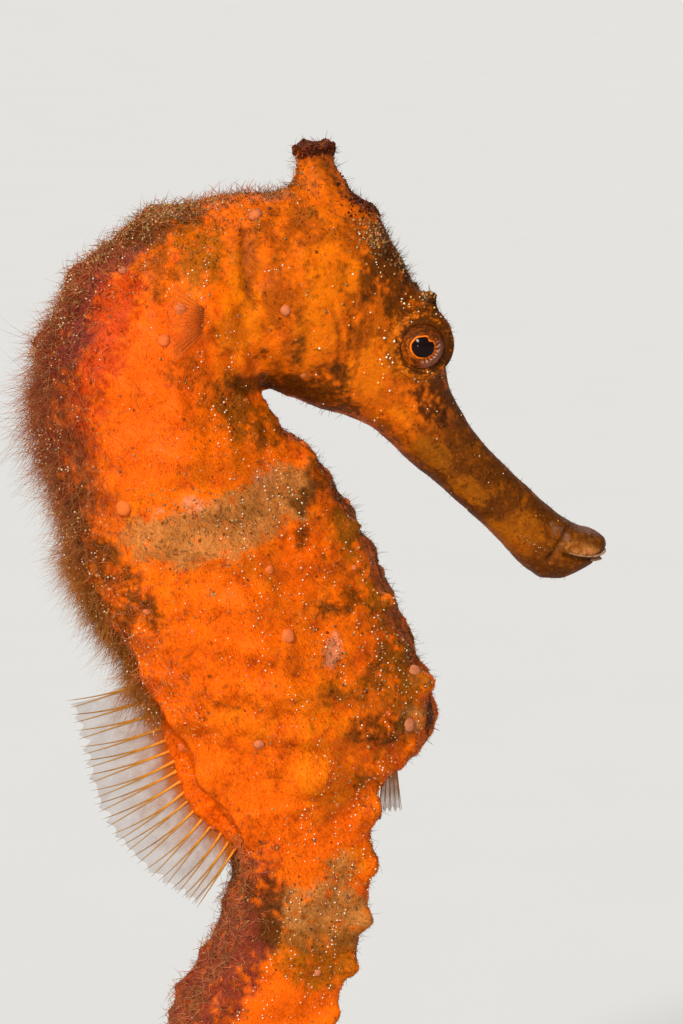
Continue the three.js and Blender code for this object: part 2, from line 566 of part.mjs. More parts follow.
// A rod on a collar, with a half ring at its top that cradles the tail at the given place.
function rodSolid(at) {
  const placesAround = (half) => [-half, 0, half].map((d) => placeAt(lengthAt(at) + d));
  const around = (half, grow) => solidOf(loft(placesAround(half), 2, grow));
  const s = sectionAt(at);
  const reach = 20;
  const keep = s.centre.clone().addScaledVector(s.up, s.halfDepth * CRADLE.depthShare + reach / 2);
  const cradle = around(CRADLE.half, STAND.wall + CRADLE.clearance)
    .intersect(slab([reach, reach, reach], keep.toArray(), Math.atan2(s.up.x, s.up.z)))
    .translate([0, 0, -BODY_DROP]);
  const foot = BACK.getPoint(at / LAST);
  const bottom = STAND.height + GAP;
  const height = foot.z + 0.8 - BODY_DROP - bottom;
  const profile = [[0, 0], [STAND.collarRadius, 0], [STAND.collarRadius, STAND.collarHeight * 0.6],
    [STAND.rodRadius + 0.4, STAND.collarHeight], [STAND.rodRadius, STAND.collarHeight + 0.4],
    [STAND.rodRadius, height], [0, height]];
  const room = around(CRADLE.half + 1.5, CRADLE.clearance).translate([0, 0, -BODY_DROP]);
  return clearOf(spun(profile, 12, [foot.x, 0, bottom]).add(cradle), [room]);
}

const stand = new THREE.Group();
group.add(stand);
const basePlate = [[0, 0], [STAND.radius, 0], [STAND.radius, STAND.height - STAND.chamfer],
  [STAND.radius - STAND.chamfer, STAND.height], [0, STAND.height]];
add('stand_base', spun(basePlate, 36, [0, 0, 0]), WOOD, stand);
for (const [name, along] of [['rear', -CRADLE.spread], ['front', CRADLE.spread]]) {
  add(`stand_rod_${name}`, rodSolid(placeAt(lengthAt(lowestPlace()) + along)), STEEL, stand);
}

export default group;
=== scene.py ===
"""A life-size estuary seahorse on a display stand: its skin, coat of algae, eyes, fins, stand and studio.

Lengths are in millimetres in the tables and sums, and in metres in the meshes. The seahorse faces +X, +Z is up
and y = 0 is its median plane.
"""

import logging
import math
from dataclasses import dataclass, field
from enum import Enum
from itertools import product
from typing import Any, Callable, ClassVar, Iterable, Optional, Sequence

import bpy
import numpy as np
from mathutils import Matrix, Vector
from mathutils.kdtree import KDTree

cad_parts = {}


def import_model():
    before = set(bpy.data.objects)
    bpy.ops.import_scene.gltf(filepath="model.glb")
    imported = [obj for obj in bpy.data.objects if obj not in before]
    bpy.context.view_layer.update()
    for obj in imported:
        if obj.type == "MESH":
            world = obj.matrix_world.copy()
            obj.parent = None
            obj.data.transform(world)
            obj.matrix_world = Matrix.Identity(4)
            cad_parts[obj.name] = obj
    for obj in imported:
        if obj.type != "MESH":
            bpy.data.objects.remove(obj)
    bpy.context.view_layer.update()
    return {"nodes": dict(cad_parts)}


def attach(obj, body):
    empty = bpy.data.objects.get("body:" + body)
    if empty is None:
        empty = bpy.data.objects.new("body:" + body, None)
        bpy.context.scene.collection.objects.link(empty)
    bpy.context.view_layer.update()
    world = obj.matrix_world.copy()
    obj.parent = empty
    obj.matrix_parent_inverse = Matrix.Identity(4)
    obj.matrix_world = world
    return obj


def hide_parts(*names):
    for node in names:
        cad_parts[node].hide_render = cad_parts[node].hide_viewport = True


log = logging.getLogger("seahorse")
MM = 0.001
BODY = "root"
FLESH = (
    "upper_jaw", "lower_jaw", "snout", "head", "coronet", "gill_cover_right", "gill_cover_left", "neck", "chest",
    "belly", "tail_base", "tail_upper", "tail_middle", "tail_lower", "tail_tip",
)
Rows = np.ndarray
Piece = bpy.types.Object
Material = bpy.types.Material


# ---- small tools


def smooth(value: Rows, low: float, high: float) -> Rows:
    """A soft step from 0 at low to 1 at high."""
    share = np.clip((value - low) / (high - low), 0.0, 1.0)
    return share * share * (3.0 - 2.0 * share)


def hump(value: Rows, centre: float, width: float) -> Rows:
    """A round hump, 1 at its centre."""
    return np.exp(-(((value - centre) / width) ** 2))


def unit(rows: Rows) -> Rows:
    """The rows as directions of length 1."""
    return rows / np.maximum(np.linalg.norm(rows, axis=-1, keepdims=True), 1e-9)


def columns(*parts: Rows) -> Rows:
    """Columns set side by side as rows."""
    return np.stack(parts, axis=1)


def blend(start: Rows, end: Rows, share: Rows) -> Rows:
    """Rows of colours or points, part of the way from start to end."""
    return start + (end - start) * np.asarray(share)[..., None]


def activate(*pieces: Piece) -> None:
    """Selects objects alone, and makes the first the active one.

    Args:
        pieces: the objects.
    """
    bpy.ops.object.select_all(action="DESELECT")
    for piece in pieces:
        piece.select_set(True)
    bpy.context.view_layer.objects.active = pieces[0]


def edit(piece: Piece, *steps: Callable[[], Any]) -> None:
    """Runs edit mode operators on the whole of a mesh.

    Args:
        piece: the mesh object.
        steps: calls that act on what is selected.
    """
    activate(piece)
    bpy.ops.object.mode_set(mode="EDIT")
    bpy.ops.mesh.select_mode(type="VERT")
    bpy.ops.mesh.select_all(action="SELECT")
    for step in steps:
        step()
    bpy.ops.object.mode_set(mode="OBJECT")


def modify(piece: Piece, kind: str, **settings: Any) -> None:
    """Adds a modifier to an object and applies it.

    Args:
        piece: the mesh object.
        kind: the modifier's type.
        settings: the modifier's values.
    """
    activate(piece)
    modifier = piece.modifiers.new(kind.title(), kind)
    for name, value in settings.items():
        setattr(modifier, name, value)
    bpy.ops.object.modifier_apply(modifier=modifier.name)


def linked(name: str, data: Any) -> Piece:
    """A new object in the scene for a mesh, a curve, a light or a camera.

    Args:
        name: the object's name.
        data: what the object shows.

    Returns:
        The object.
    """
    piece = bpy.data.objects.new(name, data)
    bpy.context.scene.collection.objects.link(piece)
    return piece


def taken(name: str) -> Piece:
    """The object that an operator has just added, renamed, with its place in its mesh.

    Args:
        name: the object's new name.

    Returns:
        The object.
    """
    piece = bpy.context.active_object
    piece.name = name
    piece.data.name = name
    bpy.ops.object.transform_apply(location=True, rotation=True, scale=True)
    return piece


def vertex_rows(piece: Piece, kind: str) -> Rows:
    """Reads three numbers for each vertex of a mesh.

    Args:
        piece: the mesh object.
        kind: "co" for places or "normal" for directions.

    Returns:
        One row for each vertex.
    """
    flat = np.empty(len(piece.data.vertices) * 3, np.float32)
    piece.data.vertices.foreach_get(kind, flat)
    return flat.reshape(-1, 3).astype(float)


def corners(piece: Piece) -> Rows:
    """A mesh's vertices, in millimetres."""
    return vertex_rows(piece, "co") / MM


def move_corners(piece: Piece, points: Rows) -> None:
    """Moves a mesh's vertices to points given in millimetres."""
    piece.data.vertices.foreach_set("co", (points * MM).astype(np.float32).ravel())
    piece.data.update()


def tube(name: str, kind: str, path: Rows, radius: float, widths: Sequence[float], fineness: int) -> Piece:
    """Makes a closed tube along a path.

    Args:
        name: the piece's name.
        kind: the type of the curve that it is made from.
        path: rows of x, y and z in millimetres.
        radius: the full radius in millimetres.
        widths: the share of the radius at each point of the path.
        fineness: how finely the tube is rounded.

    Returns:
        The tube as a mesh object.
    """
    curve = bpy.data.curves.new(name, "CURVE")
    curve.dimensions = "3D"
    curve.bevel_depth = radius * MM
    curve.bevel_resolution = fineness
    curve.resolution_u = 4
    curve.use_fill_caps = True
    spline = curve.splines.new(kind)
    spline.points.add(len(path) - 1)
    for point, at, width in zip(spline.points, path, widths):
        point.co = (*(at * MM), 1.0)
        point.radius = width
    spline.use_endpoint_u = True
    spline.order_u = 4
    activate(linked(name, curve))
    bpy.ops.object.convert(target="MESH")
    return bpy.context.active_object


def paint(piece: Piece, name: str, colours: Rows) -> None:
    """Keeps a colour at each vertex of a mesh.

    Args:
        piece: the mesh object.
        name: the attribute's name.
        colours: one row of red, green and blue for each vertex.
    """
    layer = piece.data.color_attributes.new(name, "FLOAT_COLOR", "POINT")
    full = np.ones((len(colours), 4), np.float32)
    full[:, :3] = colours
    layer.data.foreach_set("color", full.ravel())


def finish(piece: Piece, material: Material, replaces: Sequence[str] = ()) -> None:
    """Dresses a piece, shades it smooth and fixes it to the body.

    Args:
        piece: the finished mesh object.
        material: its material.
        replaces: the solid nodes that the piece stands for.
    """
    piece.data.materials.clear()
    piece.data.materials.append(material)
    activate(piece)
    bpy.ops.object.shade_smooth()
    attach(piece, BODY)
    if replaces:
        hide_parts(*replaces)
    log.info("%s: %d vertices, %d faces", piece.name, len(piece.data.vertices), len(piece.data.polygons))


class Lumps:
    """Smooth random numbers from about -1 to 1 through space."""

    def __init__(self, seed: int) -> None:
        """Draws the table for a seed.

        Args:
            seed: for the random draws.
        """
        rng = np.random.default_rng(seed)
        self.table = rng.permutation(256)
        self.slopes = unit(rng.normal(size=(256, 3)))

    def at(self, points: Rows, size: float) -> Rows:
        """The numbers at points.

        Args:
            points: rows of x, y and z in millimetres.
            size: how wide one lump is, in millimetres.

        Returns:
            One number for each point.
        """
        scaled = points / size
        cell = np.floor(scaled).astype(int)
        inside = scaled - cell
        ease = inside**3 * (inside * (inside * 6 - 15) + 10)
        total = np.zeros(len(points))
        for corner in product((0, 1), repeat=3):
            at = self.table[(cell[:, 0] + corner[0]) & 255]
            at = self.table[(at + cell[:, 1] + corner[1]) & 255]
            at = self.table[(at + cell[:, 2] + corner[2]) & 255]
            weight = np.prod(np.where(corner, ease, 1 - ease), axis=1)
            total += weight * np.sum(self.slopes[at] * (inside - corner), axis=1)
        return total * 1.6

    def sum(self, points: Rows, *layers: tuple[float, float]) -> Rows:
        """Layers of lumps added up, each a width and a height."""
        return sum(self.at(points + 17.3 * i, size) * height for i, (size, height) in enumerate(layers))


# ---- the body's line


@dataclass(frozen=True)
class Place:
    """Where points lie on the body: along its line, round it, and which side they are on."""

    along: Rows
    turn: Rows
    side: Rows
    depth: Rows
    width: Rows

    def past(self, low: float, high: float) -> Rows:
        """A soft step along the body, from 0 at low to 1 at high."""
        return smooth(self.along, low, high)

    def turned(self, low: float, high: float) -> Rows:
        """A soft step round the body from its back, from 0 at low to 1 at high."""
        return smooth(self.turn, low, high)

    def within(self, ends: tuple[float, float]) -> Rows:
        """Whether each place is between two ends along the body."""
        return (self.along >= ends[0]) & (self.along < ends[1])

    def slim(self, full: float, least: float) -> Rows:
        """The body's width as a share of a full one, from a least share to 1."""
        return np.clip(self.width / full, least, 1.0)

    def pick(self, which: Rows, weights: Rows) -> "Place":
        """The places of points inside triangles.

        Args:
            which: the three vertex numbers of each point's triangle.
            weights: each point's weight of the three.

        Returns:
            The places, one for each point.
        """
        mean = [np.sum(part[which] * weights, axis=1) for part in (self.along, self.turn, self.depth, self.width)]
        return Place(mean[0], mean[1], self.side[which[:, 0]], mean[2], mean[3])


@dataclass
class BodyLine:
    """The seahorse's line from lips to tail tip, with the depth and width of its sections."""

    stations: tuple[tuple[float, float, float, float, float], ...] = (
        # back x and z, belly x and z, half width
        (29.7, 82.4, 28.4, 81.0, 1.0), (29.4, 83.3, 27.1, 80.2, 2.1), (28.2, 84.1, 25.2, 79.5, 2.6),
        (26.5, 84.7, 22.8, 79.9, 2.6), (24.8, 86.0, 20.9, 82.1, 2.3), (22.7, 87.9, 19.1, 84.1, 2.2),
        (20.5, 90.1, 16.7, 86.3, 2.2), (18.4, 92.3, 14.3, 88.5, 2.3), (16.7, 94.7, 11.9, 90.5, 2.8),
        (15.7, 96.7, 10.3, 92.1, 3.2), (15.0, 99.8, 8.7, 93.5, 3.6), (14.0, 103.3, 6.8, 94.4, 4.2),
        (12.4, 106.4, 4.7, 95.1, 4.9), (10.6, 110.0, 2.6, 96.0, 5.6), (8.7, 113.6, 1.1, 96.6, 6.1),
        (4.4, 114.7, -0.1, 97.2, 6.4), (-0.7, 114.5, -1.0, 97.8, 6.4), (-5.8, 113.8, -1.6, 97.9, 6.1),
        (-11.1, 112.3, -1.2, 96.6, 6.4), (-15.8, 109.4, -0.3, 95.6, 6.8), (-19.6, 105.0, 1.3, 93.8, 7.5),
        (-21.3, 99.8, 3.6, 91.9, 8.3), (-21.2, 93.9, 5.9, 88.5, 8.9), (-19.5, 87.9, 8.2, 84.4, 9.3),
        (-18.2, 82.2, 10.6, 79.7, 9.4), (-15.6, 77.0, 12.6, 74.8, 9.4), (-12.0, 72.3, 14.3, 70.4, 9.1),
        (-9.2, 67.9, 14.6, 66.6, 8.5), (-7.5, 64.6, 13.0, 65.1, 7.8), (-5.6, 61.7, 9.1, 64.2, 7.0),
        (-3.4, 58.4, 8.2, 60.3, 6.3), (-3.2, 55.0, 8.2, 56.3, 6.0), (-3.9, 51.5, 7.8, 52.2, 5.9),
        (-5.3, 47.9, 6.8, 48.0, 5.8), (-7.8, 43.9, 4.9, 43.4, 5.7),
    )
    gill_station: int = 17
    vent_station: int = 29
    curl_length: float = 80.0
    steps: int = 16
    trunk_rings: int = 11
    tail_rings: int = 36
    tail_shrink: float = 0.965
    slack: float = 0.6
    chunk: int = 3000
    back: Rows = field(init=False)
    centre: Rows = field(init=False)
    up: Rows = field(init=False)
    depth: Rows = field(init=False)
    width: Rows = field(init=False)
    along: Rows = field(init=False)
    rings: Rows = field(init=False)

    def __post_init__(self) -> None:
        """Works out the sections between the stations, and the edges of the bony rings."""
        rows = np.array([*self.stations, *self._curl()])
        padded = np.vstack([2 * rows[0] - rows[1], rows, 2 * rows[-1] - rows[-2]])
        samples = []
        for i in range(len(rows) - 1):
            p0, p1, p2, p3 = padded[i : i + 4]
            for t in np.arange(self.steps) / self.steps:
                samples.append(0.5 * (2 * p1 + (p2 - p0) * t + (2 * p0 - 5 * p1 + 4 * p2 - p3) * t**2
                                      + (3 * p1 - p0 - 3 * p2 + p3) * t**3))
        fine = np.array([*samples, rows[-1]])
        self.back = fine[:, :2]
        self.centre = (fine[:, :2] + fine[:, 2:4]) / 2
        self.up = unit(fine[:, :2] - fine[:, 2:4])
        self.depth = np.linalg.norm(fine[:, :2] - fine[:, 2:4], axis=1) / 2
        self.width = fine[:, 4]
        gaps = np.linalg.norm(np.diff(self.centre, axis=0), axis=1)
        self.along = np.concatenate([[0.0], np.cumsum(gaps)])
        self.rings = self._ring_edges()

    def _curl(self) -> list[tuple[float, float, float, float, float]]:
        """The stations of the tail's curl, each 4 mm along its line.

        Returns:
            The stations, as in the table.
        """
        x, z = -1.45, 43.65
        heading = math.radians(-117)
        stations = []
        pace = 0.25
        for i in range(1, round(self.curl_length / pace) + 1):
            past = i * pace - 6.0
            bend = math.radians(1.0) if past < 0 else min(1.0, past / 8.0) / (14.5 - 0.16 * past)
            heading += bend * pace
            x += math.cos(heading) * pace
            z += math.sin(heading) * pace
            if i % 16:
                continue
            half = 0.6 + 5.5 * (1 - i * pace / self.curl_length) ** 1.1
            reach_x, reach_z = math.sin(heading) * half, math.cos(heading) * half
            stations.append((x + reach_x, z - reach_z, x - reach_x, z + reach_z, half * 0.93 + 0.042))
        return stations

    def _ring_edges(self) -> Rows:
        """How far along the line each bony ring starts.

        Returns:
            The places along the line.
        """
        gill = self.along[self.gill_station * self.steps]
        vent = self.along[self.vent_station * self.steps]
        trunk = np.linspace(gill, vent, self.trunk_rings + 1)
        shares = self.tail_shrink ** np.arange(self.tail_rings)
        tail = vent + np.cumsum(shares) / shares.sum() * (self.along[-1] - vent)
        return np.concatenate([trunk, tail])

    def place(self, points: Rows) -> Place:
        """Finds where points lie on the body.

        Args:
            points: rows of x, y and z.

        Returns:
            Their places, with a turn of 0 on the midline of the back and pi on that of the belly.
        """
        flat = points[:, [0, 2]].astype(np.float32)
        across = columns(-self.up[:, 1], self.up[:, 0])
        best = np.empty(len(points), int)
        for start in range(0, len(points), self.chunk):
            part = flat[start : start + self.chunk]
            high = part @ self.up.T.astype(np.float32) - np.sum(self.centre * self.up, axis=1).astype(np.float32)
            off = part @ across.T.astype(np.float32) - np.sum(self.centre * across, axis=1).astype(np.float32)
            cost = off**2 + np.maximum(0, np.abs(high) - self.depth.astype(np.float32) - self.slack) ** 2
            best[start : start + self.chunk] = cost.argmin(axis=1)
        high = np.sum((points[:, [0, 2]] - self.centre[best]) * self.up[best], axis=1) / self.depth[best]
        wide = np.abs(points[:, 1]) / self.width[best]
        side = np.where(points[:, 1] < 0, -1.0, 1.0)
        return Place(self.along[best], np.arctan2(wide, high), side, self.depth[best], self.width[best])

    def heading(self, along: Rows) -> Rows:
        """The direction towards the tail, as x, y and z, at places along the line."""
        near = np.clip(np.searchsorted(self.along, along), 1, len(self.along) - 1)
        return np.insert(unit(self.centre[near] - self.centre[near - 1]), 1, 0.0, axis=1)

    def ring_share(self, along: Rows) -> tuple[Rows, Rows]:
        """The number of the ring at places along the line, or -1, and the share of the ring gone by there.

        Args:
            along: how far along the line each point is.

        Returns:
            The numbers and the shares.
        """
        ring = np.searchsorted(self.rings, along, side="right") - 1
        inside = np.clip(ring, 0, len(self.rings) - 2)
        share = (along - self.rings[inside]) / (self.rings[inside + 1] - self.rings[inside])
        return np.where(ring < 0, -1, inside), np.clip(share, 0, 1)

    def back_at(self, along: Rows) -> Rows:
        """Points x, z on the line of the back."""
        return columns(*(np.interp(along, self.along, self.back[:, i]) for i in (0, 1)))


# ---- markings


class Tint(Enum):
    """The colours of the skin and what grows on it, as linear red, green and blue."""

    ORANGE = (0.93, 0.148, 0.0004)
    FLAME = (0.97, 0.130, 0.0003)
    CORAL = (0.95, 0.122, 0.002)
    RED = (0.60, 0.048, 0.002)
    AMBER = (0.92, 0.200, 0.0008)
    RUST = (0.40, 0.068, 0.0008)
    OCHRE = (0.40, 0.102, 0.0010)
    BROWN = (0.115, 0.028, 0.0008)
    UMBER = (0.030, 0.008, 0.0010)
    OLIVE = (0.24, 0.062, 0.0012)
    BEIGE = (0.55, 0.195, 0.040)
    PINK = (0.78, 0.245, 0.110)
    MAROON = (0.16, 0.022, 0.017)
    STRAW = (0.62, 0.34, 0.11)
    WHITE = (0.95, 0.85, 0.62)
    GREY = (0.25, 0.100, 0.045)

    @property
    def rgb(self) -> Rows:
        """The colour as an array."""
        return np.array(self.value)


@dataclass(frozen=True)
class Patch:
    """A soft oval of one tint, seen from the side, on both sides of the body."""

    x: float
    z: float
    wide: float
    high: float
    turn: float
    strength: float
    outside: ClassVar[float] = 1.35
    inside: ClassVar[float] = 0.45

    def weight(self, points: Rows) -> Rows:
        """How strongly the patch covers points, from 0 to 1.

        Args:
            points: rows of x, y and z.

        Returns:
            One for each point.
        """
        turn = math.radians(self.turn)
        dx, dz = points[:, 0] - self.x, points[:, 2] - self.z
        across = (dx * math.cos(turn) - dz * math.sin(turn)) / self.wide
        up = (dx * math.sin(turn) + dz * math.cos(turn)) / self.high
        return self.strength * smooth(np.hypot(across, up), self.outside, self.inside)


# soft ovals of each tint, on both sides: x, z, half width, half height, lean in degrees, strength
PATCHES = {
    tint: tuple(Patch(*row) for row in rows)
    for tint, rows in {
        Tint.FLAME: (
            (-6.3, 77.8, 5.2, 5.8, 0, 0.8), (-10.1, 73.3, 2.6, 3.5, 20, 0.7), (-4.4, 63.7, 5.2, 5.3, 0, 0.8),
            (0.5, 83.4, 2.3, 3.5, -10, 0.6), (2.5, 59.7, 5.2, 3.5, 0, 0.8), (-0.6, 45.1, 5.2, 3.5, 0, 1.0),
            (-9.6, 66.8, 2.2, 5.5, -30, 0.9), (-5.2, 60.2, 1.8, 3.5, -40, 0.8), (0.8, 85.3, 2.4, 2.2, 0, 0.8),
            (6.6, 75.7, 1.8, 1.6, 20, 0.8), (9.1, 77.5, 1.2, 1.6, 0, 0.7), (3.0, 62.6, 3.6, 1.8, 0, 0.85),
        ),
        Tint.CORAL: ((-12.6, 98.2, 5.4, 7.9, 10, 1.0), (-10.1, 102.2, 4.3, 3.5, 0, 0.6)),
        Tint.RED: (
            (-15.6, 103.5, 2.8, 5.4, 25, 0.9), (-16.6, 96.3, 1.8, 5.3, 5, 0.6), (-13.8, 106.2, 3.0, 1.9, -30, 0.6),
        ),
        Tint.AMBER: (
            (-4.3, 103.7, 1.9, 3.1, -10, 1.0), (2.7, 103.5, 2.1, 4.6, 12, 0.7), (4.2, 109.3, 3.6, 4.4, 0, 0.55),
            (-1.8, 105.9, 1.9, 3.5, 0, 0.35), (7.7, 99.1, 2.6, 3.2, 35, 0.8), (10.4, 95.2, 2.0, 0.8, 42, 0.8),
            (2.6, 66.0, 3.2, 5.5, 0, 0.6), (-3.7, 105.9, 1.6, 3.6, 0, 0.9), (5.4, 57.0, 2.2, 1.6, 0, 0.7),
        ),
        Tint.OCHRE: (
            (13.3, 91.8, 2.6, 1.1, 42, 0.9), (20.0, 83.7, 2.4, 1.3, 35, 0.9), (16.8, 88.2, 2.2, 1.0, 42, 0.8),
            (-7.5, 109.8, 3.6, 3.2, 0, 0.7), (21.6, 84.4, 2.0, 1.8, 35, 0.7), (3.3, 52.9, 5.6, 2.6, 3, 0.85),
            (8.4, 58.4, 1.3, 5.2, 3, 0.7), (7.0, 49.0, 1.5, 4.0, -8, 0.5), (6.6, 84.0, 2.6, 6.5, -16, 0.6),
            (10.2, 73.0, 2.6, 4.6, 0, 0.7), (3.3, 50.0, 5.6, 4.2, 3, 0.8),
        ),
        Tint.BEIGE: (
            (-7.9, 87.1, 6.8, 2.8, -12, 1.0), (-1.0, 89.6, 3.3, 3.0, -20, 0.9), (-4.1, 88.3, 3.5, 1.9, -15, 0.9),
            (2.7, 53.4, 4.5, 2.3, 5, 0.75), (4.9, 56.6, 1.9, 1.8, 0, 0.5), (-20.2, 103.3, 1.2, 4.4, 10, 0.5),
            (9.2, 80.8, 1.4, 1.4, 0, 0.5), (10.6, 69.4, 1.7, 1.4, 0, 0.6), (3.3, 52.2, 5.2, 3.0, 3, 0.8),
            (26.7, 82.8, 2.0, 1.2, 20, 0.55),
        ),
        Tint.PINK: (
            (3.3, 76.4, 0.8, 1.5, 10, 0.8), (-9.6, 89.4, 3.4, 0.8, -10, 0.35), (-2.2, 91.4, 1.6, 0.9, -20, 0.35),
            (26.6, 82.5, 1.8, 0.9, 20, 0.22),
        ),
        Tint.MAROON: (
            (-18.6, 103.4, 2.4, 7.0, 25, 1.0), (-20.2, 94.9, 1.9, 4.4, 0, 0.7), (-13.2, 110.6, 2.9, 1.8, -30, 0.8),
            (-5.0, 53.2, 1.9, 2.6, 10, 1.0), (-10.4, 44.6, 2.2, 2.4, 30, 1.0), (3.3, 118.3, 2.8, 1.4, 0, 1.0),
            (8.2, 113.9, 2.2, 1.4, 40, 1.0), (-7.2, 49.0, 1.7, 3.4, 32, 0.9), (-14.2, 110.0, 3.8, 1.8, -40, 0.9),
        ),
        Tint.OLIVE: (
            (-5.6, 97.6, 2.6, 2.7, 0, 0.5), (-2.4, 95.4, 3.5, 2.3, 20, 0.6), (9.0, 74.6, 2.8, 3.4, 0, 0.6),
            (4.4, 72.9, 2.9, 2.1, 0, 0.3), (5.6, 86.8, 1.6, 3.7, -15, 0.6), (8.4, 80.8, 2.1, 3.5, -10, 0.6),
            (2.7, 50.5, 4.3, 1.6, 0, 0.5), (6.8, 64.5, 1.6, 4.5, 0, 0.35), (24.4, 82.8, 0.5, 1.2, -30, 0.6),
        ),
        Tint.BROWN: (
            (9.5, 109.2, 1.3, 3.7, -10, 1.0), (11.5, 106.4, 1.6, 1.6, 0, 1.0), (13.9, 98.4, 1.3, 2.3, 0, 1.0),
            (15.5, 96.1, 2.3, 1.2, 42, 1.0), (19.7, 91.7, 3.5, 1.1, 38, 1.0), (23.7, 87.0, 2.8, 1.3, 33, 0.9),
            (1.5, 97.9, 5.4, 1.1, 10, 1.0), (-2.3, 101.4, 1.7, 0.9, 30, 0.4), (3.6, 90.5, 2.8, 1.8, 40, 0.7),
            # the last of these, at (7.7, 69.0), is painted shade low on the belly
            (0.5, 86.0, 1.7, 1.4, 0, 0.5), (4.4, 80.2, 2.9, 1.1, -10, 0.6), (7.7, 69.0, 3.8, 1.8, 0, 0.5),
            (-18.6, 80.6, 2.3, 7.9, 5, 0.8), (-14.9, 76.3, 1.4, 5.3, 20, 0.7), (-18.0, 90.7, 2.3, 5.3, 0, 0.5),
            (-10.9, 112.4, 4.3, 1.4, -15, 0.8), (-1.9, 54.6, 2.3, 1.9, 0, 0.7), (25.4, 80.2, 2.4, 0.9, 30, 0.7),
            (28.9, 84.1, 1.1, 0.8, -30, 0.6), (13.1, 105.4, 1.7, 1.5, 0, 1.0), (15.0, 101.0, 0.9, 3.6, 5, 1.0),
            (-8.5, 112.6, 3.0, 1.1, -8, 0.8), (3.9, 99.2, 2.4, 1.2, 10, 0.5), (1.0, 100.8, 0.8, 2.2, 0, 0.5),
            (9.8, 104.9, 1.3, 2.2, -20, 0.75), (8.6, 108.6, 1.4, 2.4, -15, 0.7), (5.0, 95.9, 2.6, 0.9, 10, 0.9),
            (27.4, 84.6, 2.0, 0.7, -25, 0.7), (24.6, 80.3, 2.6, 1.0, 20, 0.7), (-11.1, 111.7, 2.4, 1.5, -30, 0.75),
            (-3.1, 98.6, 2.2, 0.9, 0, 0.9), (7.1, 107.0, 1.0, 2.4, 0, 0.6), (1.0, 88.9, 1.6, 1.2, 0, 0.6),
            # the last of these, at (-13.6, 82.4), is a painted shadow beside the threads on the back
            (-1.3, 51.8, 1.2, 1.8, 0, 0.85), (-13.6, 82.4, 1.5, 6.0, -33, 0.6),
        ),
        Tint.RUST: (
            (-2.9, 108.4, 0.7, 2.4, 5, 0.8), (21.6, 82.9, 1.2, 0.7, 30, 0.7), (6.8, 110.8, 2.6, 2.2, 0, 0.7),
            (-10.7, 107.8, 2.6, 2.2, -30, 0.65), (-8.7, 100.2, 2.4, 1.6, 10, 0.6), (1.2, 110.9, 3.4, 1.4, -10, 0.7),
            (-0.9, 106.6, 1.4, 2.4, 0, 0.75),
        ),
        Tint.GREY: ((25.0, 84.0, 1.3, 0.7, 40, 0.6),),
        Tint.UMBER: (
            (14.6, 105.6, 1.0, 1.0, 0, 0.8), (10.9, 108.3, 1.2, 2.6, -15, 0.7), (13.5, 104.7, 1.4, 1.2, 0, 1.0),
            (12.9, 95.8, 1.3, 2.6, -38, 0.85), (13.0, 68.9, 1.0, 1.6, 0, 0.9),
        ),
    }.items()
}


@dataclass(frozen=True)
class Fold:
    """A crease in the skin, on both sides, along a line of x and z."""

    line: tuple[tuple[float, float], ...]
    width: float
    depth: float

    def nearness(self, points: Rows) -> Rows:
        """How near points are to the crease, from 0 to 1 on its line.

        Args:
            points: rows of x, y and z.

        Returns:
            One for each point.
        """
        flat = points[:, [0, 2]]
        gap = np.full(len(points), 1e9)
        for start, end in zip(self.line, self.line[1:]):
            a, run = np.array(start), np.array(end) - np.array(start)
            share = np.clip((flat - a) @ run / (run @ run), 0, 1)
            gap = np.minimum(gap, np.linalg.norm(flat - a - share[:, None] * run, axis=1))
        return np.exp(-((gap / self.width) ** 2))


FOLDS = (
    Fold(((-3.3, 111.3), (-3.6, 108.8), (-3.4, 107.0), (-2.7, 105.3)), 0.42, 0.55),
    Fold(((-7.1, 105.3), (-6.2, 103.4), (-4.7, 101.4)), 0.20, 0.22),
    Fold(((-7.7, 106.1), (-6.9, 103.9), (-5.4, 101.2)), 0.18, 0.18),
    Fold(((3.6, 105.6), (4.7, 102.3), (4.6, 98.4)), 0.30, 0.22),
    Fold(((5.9, 104.2), (5.4, 101.4), (5.2, 97.6)), 0.24, 0.18),
    Fold(((0.9, 106.0), (1.5, 103.0), (1.4, 99.5)), 0.50, 0.16),
    Fold(((6.9, 103.0), (6.4, 100.4), (6.1, 98.2)), 0.20, 0.12),
    Fold(((8.7, 97.2), (12.0, 94.2), (15.4, 90.2), (18.8, 86.6)), 0.35, 0.16),
)
GAPE = Fold(((29.2, 80.9), (27.8, 81.5), (26.5, 81.7), (25.2, 82.1)), 0.22, 0.42)
JAW_CREASE = Fold(((25.7, 84.3), (24.9, 83.3), (24.3, 82.5), (23.7, 81.7)), 0.26, 0.30)


@dataclass(frozen=True)
class EyePlace:
    """Where the two eyes are: their shared x and z, and how far each is from y = 0."""

    x: float = 11.9
    z: float = 101.2
    out: float = 3.7
    radius: float = 2.1

    gaze_x: float = -0.22
    gaze_z: float = 0.10

    def off_axis(self, points: Rows) -> Rows:
        """How far points are from the line through both eyes."""
        return np.hypot(points[:, 0] - self.x, points[:, 2] - self.z)

    def streaks(self, lumps: Lumps, points: Rows) -> Rows:
        """Random streaks that run round the eye."""
        round_it = unit(points[:, [0, 2]] - np.array([self.x, self.z])) * 1.5
        return lumps.sum(columns(self.off_axis(points) * 4.6, *round_it.T), (1.0, 1.0), (0.45, 0.5))

    def off_pupil(self, points: Rows) -> Rows:
        """How far points are from the line through both pupils."""
        return np.hypot(points[:, 0] - self.x - self.gaze_x, points[:, 2] - self.z - self.gaze_z)


EYES = EyePlace()


